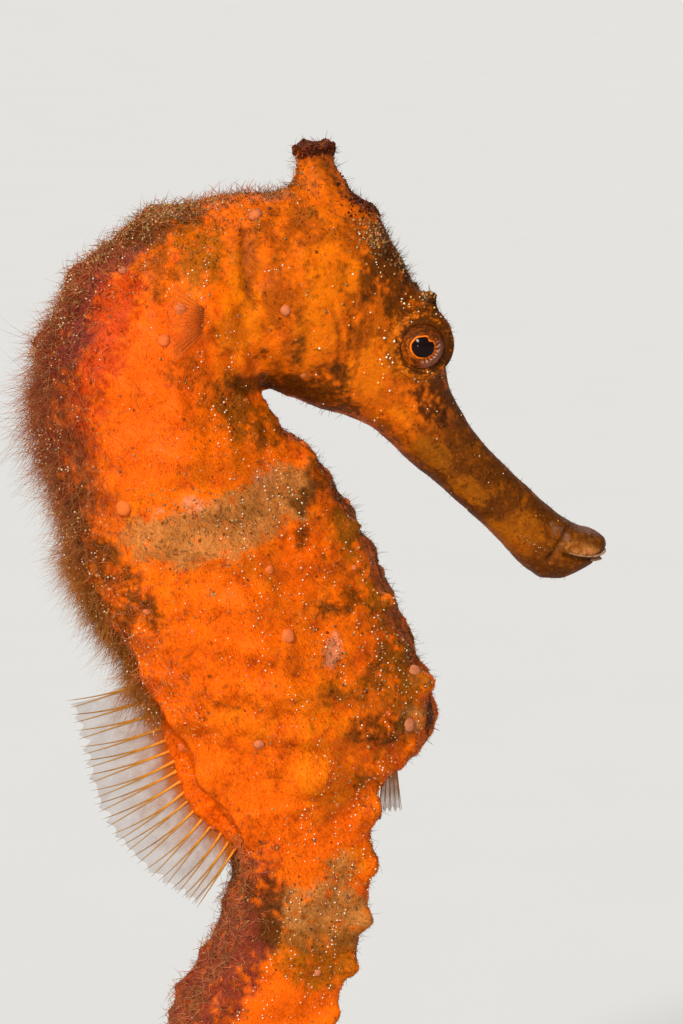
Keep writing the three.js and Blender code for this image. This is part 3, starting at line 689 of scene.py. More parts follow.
@dataclass
class Markings:
    """The colours of the body, worked out at any point from its place, with painted shade in its creases, its mouth,
    along its belly's midline, in two patches and round its eyes, and painted light round its eyes.
    """

    lumps: Lumps = field(default_factory=lambda: Lumps(11))

    def _cover(self, tint: Tint, points: Rows) -> Rows:
        """How far a tint's patches cover points, before their edges are broken up.

        Args:
            tint: the tint of the patches.
            points: rows of x, y and z.

        Returns:
            One for each point.
        """
        bare = np.ones(len(points))
        for patch in PATCHES.get(tint, ()):
            bare *= 1 - patch.weight(points)
        return 1 - bare

    def _unseen(self, place: Place) -> dict[Tint, Rows]:
        """Bands along the curl of the tail, the colours of the back, and painted shade along the belly's midline.

        Args:
            place: where they lie on the body.

        Returns:
            The share of each tint.
        """
        along, turn = place.along, place.turn
        curl = smooth(along, 112, 118)
        wave = np.sin((along - 113) * 2 * math.pi / 21)
        trunk = smooth(along, 44, 50) * smooth(along, 84, 77)
        back = smooth(turn, 0.80, 0.35)
        tail = smooth(along, 90, 103) * smooth(turn, 1.30, 0.85)
        keel_shade = smooth(turn, 2.65, 3.0)
        return {
            Tint.FLAME: curl * smooth(wave, -0.1, 0.5) * 0.8,
            Tint.BEIGE: curl * smooth(wave, -0.2, -0.9) * 0.75,
            # olive under the curl of the tail, and painted shade along the belly's midline of the trunk
            Tint.OLIVE: np.maximum(curl * smooth(turn, 2.3, 2.9) * 0.5, keel_shade * trunk * 0.6),
            Tint.MAROON: np.maximum(tail * 0.9, back * trunk * (0.75 - 0.5 * smooth(along, 58, 72))),
            Tint.BROWN: np.maximum(back * trunk * 0.40, smooth(along, 21, 17) * smooth(turn, 1.35, 0.75) * 0.9),
        }

    def colours(self, points: Rows, place: Place) -> Rows:
        """The skin's colours.

        Args:
            points: rows of x, y and z.
            place: where the points lie on the body.

        Returns:
            One row of linear red, green and blue for each point.
        """
        drawn_out = points * np.array([1.1, 1.0, 0.68])
        broad = self.lumps.sum(drawn_out, (3.2, 0.6), (1.3, 0.5))
        fine = self.lumps.sum(points + 40, (0.9, 0.55), (0.42, 0.6), (0.21, 0.3))
        ragged = 0.55 * broad + 0.80 * fine
        colour = blend(Tint.ORANGE.rgb, Tint.AMBER.rgb, smooth(broad + 0.4 * fine, 0.0, 0.6) * 0.6)
        reds = self.lumps.sum(drawn_out + 9, (1.7, 0.7), (0.55, 0.6))
        colour = blend(colour, Tint.RED.rgb, smooth(reds, 0.05, 0.7) * 0.6)
        head, snout = place.past(47, 38), place.past(25, 17)
        colour = blend(colour, Tint.AMBER.rgb * 0.92, head * 0.38)
        colour = blend(colour, Tint.OCHRE.rgb * 0.72, snout * 0.9)
        belly = place.turned(1.55, 2.5) * place.past(50, 58) * place.past(110, 98)
        dull = np.maximum(head * 0.62, belly * 0.45)
        colour = blend(colour, Tint.RUST.rgb, dull * smooth(ragged, -0.50, 0.40))
        colour = blend(colour, Tint.BROWN.rgb * 0.85, snout * smooth(ragged, -0.75, 0.25) * 0.88)
        veins = self.lumps.sum(points * np.array([1.0, 0.6, 0.75]) + 57, (1.6, 0.65), (0.62, 0.55), (0.3, 0.35))
        colour = blend(colour, Tint.BROWN.rgb, head * smooth(veins, -0.05, 0.60) * 0.62)
        unseen = self._unseen(place)
        for tint in (
            Tint.FLAME, Tint.CORAL, Tint.AMBER, Tint.OCHRE, Tint.RUST, Tint.RED, Tint.BEIGE, Tint.OLIVE, Tint.MAROON,
            Tint.BROWN, Tint.UMBER, Tint.GREY, Tint.PINK,
        ):
            cover = np.maximum(self._cover(tint, points), unseen.get(tint, 0.0))
            share = smooth(cover + ragged * smooth(cover, 0.02, 0.35), 0.20, 0.82)
            colour = blend(colour, tint.rgb, share * (0.90 - 0.12 * smooth(fine, 0.0, 0.6)))
        speckle = smooth(self.lumps.sum(points + 71, (0.55, 0.7), (0.26, 0.5)), 0.30, 0.75)
        dark = 0.22 + 0.55 * smooth(self.lumps.at(points + 5, 5.0), -0.1, 0.5) + 0.15 * head
        colour = blend(colour, Tint.BROWN.rgb, speckle * np.minimum(dark, 0.85))
        shadows = smooth(self.lumps.sum(points + 23, (2.3, 0.6), (0.7, 0.5)), 0.15, 0.8)
        colour = blend(colour, colour * 0.45, shadows * 0.5)
        # painted shade: each crease darkened towards umber, the deeper creases more
        for fold in FOLDS:
            colour = blend(colour, Tint.UMBER.rgb, fold.nearness(points) ** 1.5 * min(0.6, fold.depth * 1.6))
        # painted shade in the slit of the mouth and along the crease of the jaw
        lips = np.maximum(GAPE.nearness(points), 0.4 * JAW_CREASE.nearness(points))
        colour = blend(colour, Tint.UMBER.rgb, lips * 0.7 * place.past(8, 6))
        return self._round_eye(colour, points)

    def _round_eye(self, colour: Rows, points: Rows) -> Rows:
        """Broken rings of orange and brown round each eye, with painted shade on the side towards the snout and above
        and in the crease round the eyeball, and painted light on the side away from the snout and below.

        Args:
            colour: the colours so far, a row for each point.
            points: rows of x, y and z.

        Returns:
            The colours with the rings.
        """
        off = EYES.off_axis(points)
        streaks = EYES.streaks(self.lumps, points)
        fine = self.lumps.sum(points + 91, (0.42, 0.6), (0.22, 0.8))
        slant = points[:, 0] - EYES.x + 0.6 * (points[:, 2] - EYES.z)
        # painted shade: darker towards the snout and above, and in the crease where the eyeball meets its lid
        shaded = 0.50 * smooth(slant, -0.4, 2.4) + 0.06 + 0.45 * hump(off, 2.05, 0.22)
        dark = smooth(0.5 * streaks + 0.9 * fine + shaded, -0.34, 0.34)
        ringed = blend(Tint.AMBER.rgb * 0.72, Tint.BROWN.rgb * 0.6, dark)
        colour = blend(colour, ringed, smooth(off, 3.7, 2.8) * 0.94)
        # painted light: a brighter ring on the side away from the snout and below
        lit_side = hump(off, 2.75, 0.26) * smooth(slant, 1.0, -1.2) * smooth(fine, -0.3, 0.4)
        return blend(colour, Tint.AMBER.rgb * 0.9, lit_side * 0.6)


# ---- skin


@dataclass
class Skin:
    """The one skin over all the flesh, with its rings, knobs, folds and markings."""

    line: BodyLine
    markings: Markings
    voxel: float = 0.40
    seam: float = 0.2
    head_end: float = 36.0
    rounds: tuple[int, int, int] = (8, 24, 3)
    lumps: Lumps = field(default_factory=lambda: Lumps(5))
    piece: Piece = field(init=False)
    points: Rows = field(init=False)
    normals: Rows = field(init=False)
    colours: Rows = field(init=False)
    place: Place = field(init=False)

    def build(self, nodes: dict[str, Piece], root_strip: Piece) -> None:
        """Joins copies of the flesh into one closed skin and shapes it.

        Args:
            nodes: the solid nodes by name.
            root_strip: the flesh at the root of the fin on the back.
        """
        self.piece = self._joined(nodes, root_strip)
        modify(self.piece, "REMESH", mode="VOXEL", voxel_size=self.voxel * MM)
        self._soften(self.rounds[0])
        self._round_knobs(self.rounds[1])
        self._refine_head()
        self._soften(self.rounds[2])
        self._shape()

    def _joined(self, nodes: dict[str, Piece], root_strip: Piece) -> Piece:
        """Copies of the flesh, each a little fuller so that their thin gaps close, joined in one mesh.

        Args:
            nodes: the solid nodes by name.
            root_strip: the flesh at the root of the fin on the back.

        Returns:
            The joined object.
        """
        copies = []
        for name in FLESH:
            copy = linked(f"skin_{name}", nodes[name].data.copy())
            edit(
                copy,
                lambda: bpy.ops.mesh.remove_doubles(threshold=1e-6),
                lambda: bpy.ops.transform.shrink_fatten(value=self.seam * MM),
            )
            copies.append(copy)
        activate(*copies, root_strip)
        bpy.ops.object.join()
        copies[0].name = "skin"
        return copies[0]

    def _smooth_by(self, share: Rows, rounds: int) -> None:
        """Smooths the skin, each vertex by its share from 0 to 1.

        Args:
            share: how much each vertex is smoothed.
            rounds: how many rounds of smoothing.
        """
        group = self.piece.vertex_groups.new(name="soften")
        share = np.round(share, 1)
        for level in np.unique(share):
            group.add(np.nonzero(share == level)[0].tolist(), float(level), "REPLACE")
        modify(self.piece, "SMOOTH", factor=0.5, iterations=rounds, vertex_group="soften")
        self.piece.vertex_groups.clear()

    def _soften(self, rounds: int) -> None:
        """Rounds off the facets, less where the body is thin."""
        self._smooth_by(self.line.place(corners(self.piece)).slim(4.5, 0.25), rounds)

    def _round_knobs(self, rounds: int) -> None:
        """Rounds off the sharp knobs of the back and of the tail's root.

        Args:
            rounds: how many rounds of smoothing.
        """
        place = self.line.place(corners(self.piece))
        back = place.turned(1.3, 0.8) * place.past(43, 48) * place.past(84, 80)
        tail = place.past(94, 99) * smooth(place.width, 1.6, 4.5) * 0.8
        self._smooth_by(np.maximum(back, tail), rounds)

    def _refine_head(self) -> None:
        """Cuts the faces of the head and snout in four, for finer folds."""
        place = self.line.place(corners(self.piece))
        chosen = place.along < self.head_end
        activate(self.piece)
        bpy.ops.object.mode_set(mode="EDIT")
        bpy.ops.mesh.select_all(action="DESELECT")
        bpy.ops.mesh.select_mode(type="VERT")
        bpy.ops.object.mode_set(mode="OBJECT")
        self.piece.data.vertices.foreach_set("select", chosen)
        bpy.ops.object.mode_set(mode="EDIT")
        bpy.ops.mesh.select_mode(type="FACE")
        bpy.ops.mesh.subdivide(number_cuts=1)
        bpy.ops.mesh.select_all(action="SELECT")
        bpy.ops.mesh.quads_convert_to_tris(quad_method="SHORTEST_DIAGONAL")
        bpy.ops.object.mode_set(mode="OBJECT")

    def _shape(self) -> None:
        """Moves the skin in under its coat and raises its rings, lumps, folds and eyelids."""
        points, normals = corners(self.piece), vertex_rows(self.piece, "normal")
        place = self.line.place(points)
        rise = self._relief(points, place) - self.seam - self.coat_depth(place)
        move_corners(self.piece, points + normals * rise[:, None])
        self.points = corners(self.piece)
        self.normals = vertex_rows(self.piece, "normal")
        self.place = self.line.place(self.points)
        self.colours = self.markings.colours(self.points, self.place)

    def coat_depth(self, place: Place) -> Rows:
        """How deep the coat lies over the skin: deepest on the back of the trunk."""
        back = place.turned(1.0, 0.4) * place.past(46, 56) * place.past(84, 79)
        return 0.12 * place.slim(6, 0.1) + 1.15 * back

    def _relief(self, points: Rows, place: Place) -> Rows:
        """How far each point stands out from the plain body.

        Args:
            points: rows of x, y and z.
            place: where they lie on the body.

        Returns:
            One for each point.
        """
        head = place.past(44, 36)
        slim = place.slim(7, 0.15) * (1 - 0.45 * head)
        rise = slim * self.lumps.sum(points, (5.0, 0.34), (2.2, 0.26), (1.1, 0.14), (0.55, 0.06))
        ring, share = self.line.ring_share(place.along)
        crest = np.sin(np.pi * share) ** 2
        on_trunk = (ring >= 0) & (ring < self.line.trunk_rings)
        on_tail = ring >= self.line.trunk_rings
        rise += np.where(on_trunk, 0.09 * (crest - 0.5) * place.turned(0.5, 0.9), 0.0)
        rise += np.where(on_tail, 0.30 * place.slim(6, 0.12) * (0.8 - crest), 0.0)
        rise += self._knobs(place, ring, share)
        side = np.abs(points[:, 1]) > 1.5
        for fold in FOLDS:
            near = fold.nearness(points)
            lip = Fold(fold.line, fold.width * 2.2, 0).nearness(points)
            rise += np.where(side, (lip * 0.45 - near) * fold.depth, 0.0)
        rise -= GAPE.depth * GAPE.nearness(points) * place.past(6.0, 4.5)
        rise -= JAW_CREASE.depth * JAW_CREASE.nearness(points) * side
        return rise + self._eyelid(points)

    def _knobs(self, place: Place, ring: Rows, share: Rows) -> Rows:
        """The knobs where the body's long ridges cross its bony rings.

        Args:
            place: where they lie on the body.
            ring: the number of each point's ring, or -1.
            share: the share of its ring that lies behind each point.

        Returns:
            One for each point.
        """
        rng = np.random.default_rng(31)
        rise = np.zeros(len(ring))
        lengths = np.diff(self.line.rings)
        on_tail = ring >= self.line.trunk_rings
        off = (share - 0.5) * lengths[np.clip(ring, 0, len(lengths) - 1)]
        radius = (place.depth + place.width) / 2
        ridges = ((0.62, 0.16, False), (1.40, 0.16, False), (2.15, 0.22, False), (2.86, 0.32, False),
                  (0.72, 0.14, True), (2.42, 0.42, True))
        for turn, height, tail in ridges:
            for side in (-1, 1):
                chance = rng.uniform(0.35, 1.15, len(lengths))[np.clip(ring, 0, len(lengths) - 1)]
                gap = off**2 + ((place.turn - turn) * radius) ** 2
                here = (ring >= 0) & (on_tail == tail) & (place.side == side)
                wide = 0.95 * place.slim(6, 0.15)
                knob = np.exp(-((gap / wide**2) ** 1.6))
                rise += np.where(here, height * chance * place.slim(6, 0.1) * knob, 0.0)
        return rise

    def _eyelid(self, points: Rows) -> Rows:
        """The ringed turret of skin round each eye.

        Args:
            points: rows of x, y and z.

        Returns:
            One for each point.
        """
        off = EYES.off_axis(points)
        outside = np.abs(points[:, 1]) > 2.4
        rings = -0.09 * EYES.streaks(self.lumps, points) * smooth(off, 3.8, 3.0) * smooth(off, 1.9, 2.2)
        lip = 0.04 * hump(off, 2.35, 0.35)
        return np.where(outside, rings + lip, 0.0)

    def dress(self, material: Material) -> None:
        """Gives the skin its markings and fixes it in place of the flesh nodes."""
        paint(self.piece, "tint", self.colours)
        finish(self.piece, material, FLESH)


# ---- coat


@dataclass(frozen=True)
class Shape:
    """A small shape that is copied many times: its points, 0 to 1 along z, and its triangles."""

    points: Rows
    faces: Rows

    @classmethod
    def read(cls, piece: Piece) -> "Shape":
        """Takes the shape of a modelled object and removes the object.

        Args:
            piece: the modelled object.

        Returns:
            The shape.
        """
        modify(piece, "TRIANGULATE")
        points = corners(piece) * MM
        faces = np.array([list(face.vertices) for face in piece.data.polygons])
        bpy.data.objects.remove(piece)
        return cls(points, faces)

    def copies(self, starts: Rows, ahead: Rows, across: Rows, radii: Rows, bends: Rows) -> Rows:
        """Lays copies of the shape along bent lines.

        Args:
            starts: where each copy's root is.
            ahead: how far and which way each runs.
            across: a unit direction square to each.
            radii: how wide each is.
            bends: how far each has turned aside by its tip.

        Returns:
            The points, as copy by point by x, y and z.
        """
        other = unit(np.cross(unit(ahead), across))
        x, y, t = self.points.T[:, None, :, None]
        path = starts[:, None] + ahead[:, None] * t + bends[:, None] * t**2
        return path + radii[:, None, None] * (across[:, None] * x + other[:, None] * y)

    def joined(self, name: str, points: Rows) -> Piece:
        """Makes one mesh of laid copies.

        Args:
            name: the piece's name.
            points: copy by point by x, y and z.

        Returns:
            The object.
        """
        count, each = points.shape[:2]
        faces = (self.faces[None] + (np.arange(count) * each)[:, None, None]).reshape(-1, 3)
        mesh = bpy.data.meshes.new(name)
        mesh.from_pydata((points.reshape(-1, 3) * MM).astype(np.float32), [], faces)
        return linked(name, mesh)

    @classmethod
    def strand(cls, joints: int, sides: int = 3) -> "Shape":
        """A tapering strand that can bend at its joints.

        Args:
            joints: how many rings of points lie between root and tip.
            sides: how many sides the strand has.

        Returns:
            The strand, 1 long and 1 in radius at its root.
        """
        bpy.ops.mesh.primitive_cone_add(
            vertices=sides, radius1=1, radius2=0, depth=1, end_fill_type="NOTHING", location=(0, 0, 0.5)
        )
        piece = taken("strand")
        cuts = [
            lambda at=at: (
                bpy.ops.mesh.select_all(action="SELECT"),
                bpy.ops.mesh.bisect(plane_co=(0, 0, at), plane_no=(0, 0, 1)),
            )
            for at in (np.arange(joints) + 1) / (joints + 1)
        ]
        edit(piece, *cuts)
        shape = cls.read(piece)
        high = shape.points[:, 2]
        wide = np.hypot(shape.points[:, 0], shape.points[:, 1])
        full = np.sqrt(np.clip(1 - high, 0, 1)) * (high < 0.999)
        shape.points[:, :2] *= (full / np.maximum(wide, 1e-6) * (wide > 1e-6))[:, None]
        return shape

    @classmethod
    def grain(cls, seed: int) -> "Shape":
        """A rough grain, about 1 across and standing on z = 0.

        Args:
            seed: for the random draws.

        Returns:
            The grain.
        """
        bpy.ops.mesh.primitive_ico_sphere_add(subdivisions=1, radius=0.5, location=(0, 0, 0.3))
        shape = cls.read(taken("grain"))
        rng = np.random.default_rng(seed)
        return cls(shape.points * (1 + rng.uniform(-0.22, 0.22, shape.points.shape)), shape.faces)

    @classmethod
    def dome(cls) -> "Shape":
        """A rounded wart with a foot that spreads.

        Returns:
            The wart.
        """
        bpy.ops.mesh.primitive_uv_sphere_add(segments=14, ring_count=9, radius=0.5, location=(0, 0, 0.25))
        shape = cls.read(taken("dome"))
        foot = 1 + 0.45 * smooth(shape.points[:, 2], 0.28, -0.1)
        rough = 1 + Lumps(19).sum(shape.points, (0.45, 0.20), (0.2, 0.10))
        return cls(shape.points * columns(foot * rough, foot * rough, rough), shape.faces)


@dataclass
class Roots:
    """Places on the skin that something grows from."""

    points: Rows
    normals: Rows
    tails: Rows
    colours: Rows
    place: Place
    body_length: ClassVar[float] = 195.0

    @property
    def count(self) -> int:
        """How many roots there are."""
        return len(self.points)

    def chosen(self, keep: Rows) -> "Roots":
        """The roots that are kept.

        Args:
            keep: whether each root is kept.

        Returns:
            Those roots.
        """
        place = self.place
        parts = (place.along, place.turn, place.side, place.depth, place.width)
        kept = Place(*(part[keep] for part in parts))
        return Roots(self.points[keep], self.normals[keep], self.tails[keep], self.colours[keep], kept)

    @property
    def unwrapped(self) -> Rows:
        """Each root's place on the skin laid flat: along the body, and round it from the belly's midline."""
        round_it = 0.5 + 0.5 * self.place.side * self.place.turn / math.pi
        return columns(0.01 + 0.98 * self.place.along / self.body_length, 0.01 + 0.98 * round_it)


class Ground:
    """The skin as ground for the coat: picks roots on it by area and density."""

    turn_weight = 6
    side_weight = 60

    def __init__(self, skin: Skin) -> None:
        """Reads the skin's triangles.

        Args:
            skin: the finished skin.
        """
        self.skin = skin
        mesh = skin.piece.data
        mesh.calc_loop_triangles()
        flat = np.empty(len(mesh.loop_triangles) * 3, np.int32)
        mesh.loop_triangles.foreach_get("vertices", flat)
        self.triangles = flat.reshape(-1, 3)
        a, b, c = (skin.points[self.triangles[:, i]] for i in range(3))
        self.areas = np.linalg.norm(np.cross(b - a, c - a), axis=1) / 2

    def roots(self, count: int, density: Rows, seed: int) -> Roots:
        """Picks roots.

        Args:
            count: how many.
            density: how dense they are at each vertex of the skin.
            seed: for the choice.

        Returns:
            The roots.
        """
        rng = np.random.default_rng(seed)
        share = self.areas * density[self.triangles].mean(axis=1)
        picked = np.searchsorted(np.cumsum(share) / share.sum(), rng.random(count))
        which = self.triangles[np.minimum(picked, len(self.triangles) - 1)]
        weights = rng.dirichlet((1, 1, 1), count)
        return self._read(which, weights)

    def _read(self, which: Rows, weights: Rows) -> Roots:
        """The skin's values inside triangles, by vertex number and weight.

        Args:
            which: the three vertex numbers of each root's triangle.
            weights: the weights of the three.

        Returns:
            The roots.
        """
        skin = self.skin
        mean = [np.sum(part[which] * weights[..., None], axis=1) for part in (skin.points, skin.normals, skin.colours)]
        place = skin.place.pick(which, weights)
        normals = unit(mean[1])
        heading = skin.line.heading(place.along)
        tails = unit(heading - normals * np.sum(heading * normals, axis=1, keepdims=True))
        return Roots(mean[0], normals, tails, mean[2], place)

    def nearest_places(self, targets: Rows) -> Roots:
        """The roots nearest to places given as rows of along, turn and side.

        Args:
            targets: rows of along, turn and side.

        Returns:
            The roots.
        """
        skin = self.skin
        tree = KDTree(len(skin.points))
        weights = np.array([1, self.turn_weight, self.side_weight])
        for i, place in enumerate(columns(skin.place.along, skin.place.turn, skin.place.side) * weights):
            tree.insert(place, i)
        tree.balance()
        found = np.array([tree.find(target)[1] for target in targets * weights])
        roots = self.at_vertices(found)
        roots.points = roots.points + roots.tails * (targets[:, :1] - skin.place.along[found][:, None])
        return roots

    def at_vertices(self, numbers: Rows) -> Roots:
        """The roots at vertices of the skin, given by their numbers."""
        return self._read(numbers[:, None].repeat(3, axis=1), np.full((len(numbers), 3), 1 / 3))


# where rows of dots run down the body: along it from, to, and at what turn
ROW_RUNS = (
    (50, 71, 1.75), (52, 80, 2.00), (56, 98, 2.22), (60, 112, 2.42), (76, 122, 2.60), (64, 96, 1.55),
    (82, 190, 1.90), (88, 176, 2.12), (92, 188, 1.40), (100, 170, 1.15),
)
# strings of dots by x and z, on both sides
DOT_STRINGS = (
    ((-7.1, 111.7), (-6.7, 110.2), (-6.8, 108.1), (-7.1, 106.9), (-7.4, 105.2)),
    ((-8.2, 109.0), (-9.0, 108.2), (-9.8, 107.4), (-10.7, 106.8)),
    ((-2.5, 92.9), (-1.7, 90.8), (-1.5, 89.0)), ((-0.4, 91.1), (0.2, 89.0), (0.8, 86.6)),
    ((-3.3, 102.4), (-4.4, 101.2), (-4.7, 99.8)), ((-6.0, 103.0), (-4.2, 103.6)), ((-1.9, 108.3), (0.2, 108.6)),
    ((7.6, 113.6), (8.9, 111.0), (9.2, 108.4)), ((19.7, 82.3), (21.0, 82.1), (22.9, 82.1)),
)


@dataclass
class Growth:
    """Copies of a small shape on roots, joined as one piece."""

    name: str
    shape: Shape
    roots: Roots
    directions: Rows
    lengths: Rows
    radii: Rows
    colours: Rows
    tip_colours: Optional[Rows] = None
    bends: Optional[Rows] = None
    sink: float = 0.0

    def build(self, material: Material) -> None:
        """Makes the joined piece and dresses it in the coat's material.

        Args:
            material: the coat's material.
        """
        count, each = self.roots.count, len(self.shape.points)
        ahead = unit(self.directions)
        rng = np.random.default_rng(len(self.name) * 7 + count)
        across = unit(np.cross(ahead, unit(rng.normal(size=(count, 3)))))
        long = self.lengths[:, None]
        bends = np.zeros((count, 3)) if self.bends is None else self.bends
        tips = self.colours if self.tip_colours is None else self.tip_colours
        starts = self.roots.points - ahead * self.sink
        piece = self.shape.joined(
            self.name, self.shape.copies(starts, ahead * long, across, self.radii, bends * long)
        )
        x, _, t = self.shape.points.T
        tints = blend(self.colours[:, None], tips[:, None], np.broadcast_to(t, (count, each)))
        paint(piece, "tint", tints.reshape(-1, 3))
        self._unwrap(piece, columns(x, t - 0.5))
        finish(piece, material)

    def _unwrap(self, piece: Piece, within: Rows) -> None:
        """Gives each copy a small patch of the OFBake map at its root's place on the unwrapped skin.

        Args:
            piece: the mesh object.
            within: where the shape's points lie in the patch.
        """
        spread = 0.0015 * np.clip(within, -1, 1)
        flat = np.clip(self.roots.unwrapped[:, None] + spread[None], 0.002, 0.998).reshape(-1, 2)
        layer = piece.data.uv_layers.new(name="OFBake")
        order = np.empty(len(piece.data.loops), np.int32)
        piece.data.loops.foreach_get("vertex_index", order)
        layer.data.foreach_set("uv", flat[order].astype(np.float32).ravel())


@dataclass
class Coat:
    """All that grows on the skin: algae, short felt, pale curls, grains of crust, flecks and warts."""

    skin: Skin
    fibre: Material
    grit: Material
    ground: Ground = field(init=False)
    rng: np.random.Generator = field(init=False)
    lumps: Lumps = field(default_factory=lambda: Lumps(23))
    # each stretch of felt: how many fibres, where along the body it starts and stops, and its longest fibre
    felts: tuple[tuple[str, int, tuple[float, float], float], ...] = (
        ("head", 42000, (0, 44), 0.21), ("front", 56000, (44, 76), 0.33), ("belly", 54000, (76, 100), 0.33),
        ("tail", 46000, (100, 192), 0.30),
    )
    # each stretch of long algae: how many threads, and where along the body it starts and stops
    algae: tuple[tuple[int, tuple[float, float]], ...] = ((7000, (40, 70)), (8200, (70, 96)), (2400, (96, 170)))
    fibre_radii: tuple[float, float] = (0.016, 0.026)
    sink: float = 0.06
    crumb_count: int = 2600
    edge_hair_count: int = 9000
    curl_count: int = 6000
    crust_count: int = 4200

    def __post_init__(self) -> None:
        """Reads the ground that the coat grows on."""
        self.ground = Ground(self.skin)
        self.rng = np.random.default_rng(77)

    def _scatter(self, count: int) -> Rows:
        """Random directions."""
        return unit(self.rng.normal(size=(count, 3)))

    def _clump(self, points: Rows, size: float) -> Rows:
        """A direction that neighbours within a given width share."""
        return columns(*(self.lumps.at(points + 31 * i, size) for i in range(3)))

    def felt(self, name: str, count: int, ends: tuple[float, float], longest: float) -> None:
        """Very short fibres that lie along the body.

        Args:
            name: the piece's name.
            count: how many fibres.
            ends: where along the body they start and stop.
            longest: the length of the longest.
        """
        place = self.skin.place
        eyes = smooth(EYES.off_axis(self.skin.points), 2.2, 3.4)
        mouth = place.past(2.0, 5.0)
        density = np.where(place.within(ends), 1.0, 0.0) * (0.05 + 0.95 * eyes) * (0.1 + 0.9 * mouth)
        roots = self.ground.roots(count, density, len(name))
        size = roots.place.slim(6, 0.35)
        lengths = longest * size * self.rng.uniform(0.5, 1.0, count)
        lie = self._clump(roots.points, 2.2)
        directions = 0.55 * roots.normals + 0.7 * roots.tails + 0.7 * lie + 0.6 * self._scatter(count)
        outward = np.sum(directions * roots.normals, axis=1, keepdims=True)
        directions += roots.normals * np.maximum(0, 0.22 - outward)
        shade = self.rng.uniform(0.70, 1.20, (count, 1))
        pale = self.rng.random((count, 1)) < 0.035
        tips = np.where(pale, 0.6 * roots.colours + 0.4 * Tint.STRAW.rgb, roots.colours * (shade * 1.05))
        Growth(
            name, Shape.strand(0), roots, directions, lengths, self.rng.uniform(*self.fibre_radii, count),
            roots.colours * shade, np.clip(tips, 0, 1), 0.25 * (roots.tails + self._scatter(count)), self.sink,
        ).build(self.fibre)

    def back_algae(self) -> None:
        """Long fine threads over the back of the neck and trunk, and thinner over the back of the tail."""
        place = self.skin.place
        edge = 1.0 - 0.5 * place.past(62, 78)
        trunk = place.turned(edge, edge - 0.5) * place.past(46, 58) * place.past(86, 81)
        nape = 0.35 * place.turned(0.6, 0.2) * place.past(40, 46) * place.past(60, 52)
        tail = 0.30 * place.turned(1.1, 0.4) * place.past(95, 100) * place.past(170, 120)
        for i, (count, ends) in enumerate(self.algae, 1):
            self._algae(f"algae_back_{i}", count, (trunk + nape + tail) * place.within(ends))

    def _algae(self, name: str, count: int, density: Rows) -> None:
        """One stretch of the long threads, maroon near the nape and golden brown lower down.

        Args:
            name: the piece's name.
            count: how many threads.
            density: how dense they are at each vertex of the skin.
        """
        roots = self.ground.roots(count, density, len(name) + count)
        long = roots.place.past(46, 62) * roots.place.past(96, 86)
        lengths = self.rng.uniform(0.35, 1.0, count) ** 1.3 * (0.7 + 1.9 * long)
        lengths *= 1 + 0.5 * hump(roots.place.along, 57, 5)
        clump = self._clump(roots.points, 1.3)
        directions = 0.85 * roots.normals + 0.45 * roots.tails + 1.1 * clump + 0.55 * self._scatter(count)
        golden = roots.place.past(58, 76)
        pale = self.rng.random((count, 1))
        base = blend(Tint.MAROON.rgb * 1.5, Tint.RUST.rgb * 0.75, golden)
        base = base + 0.22 * roots.colours * roots.place.turned(0.3, 0.9)[:, None]
        tips = blend(np.array([0.46, 0.105, 0.025]), np.array([0.54, 0.175, 0.012]), golden)
        tips = np.where(pale < 0.24, Tint.STRAW.rgb, np.where(pale < 0.38, Tint.GREY.rgb * 1.5, tips))
        Growth(
            name, Shape.strand(2), roots, directions, lengths, self.rng.uniform(0.012, 0.022, count),
            base, tips, 0.3 * roots.tails + self._clump(roots.points + 50, 0.8) + 0.65 * self._scatter(count),
            self.sink,
        ).build(self.fibre)

    def crumbs(self) -> None:
        """Pale crumbs caught among the long threads, in clumps."""
        place = self.skin.place
        where = place.turned(1.0, 0.3) * place.past(40, 48) * place.past(90, 82)
        clumps = smooth(self.lumps.at(self.skin.points + 3, 1.3), 0.0, 0.4)
        count = self.crumb_count
        roots = self.ground.roots(count, where * (0.12 + clumps), 12)
        lift = self.rng.uniform(0.1, 1.2, count) * (0.45 + roots.place.past(46, 62))
        roots.points = roots.points + (roots.normals + 0.4 * roots.tails) * lift[:, None]
        size = self.rng.uniform(0.05, 0.17, count)
        tone = self.rng.random((count, 1))
        tint = np.where(tone < 0.5, Tint.STRAW.rgb * 1.1, np.where(tone < 0.75, Tint.WHITE.rgb * 0.85, Tint.PINK.rgb))
        Growth(
            "back_crumbs", Shape.grain(7), roots, roots.normals + self._scatter(count), size, size, tint, tint * 0.9
        ).build(self.grit)

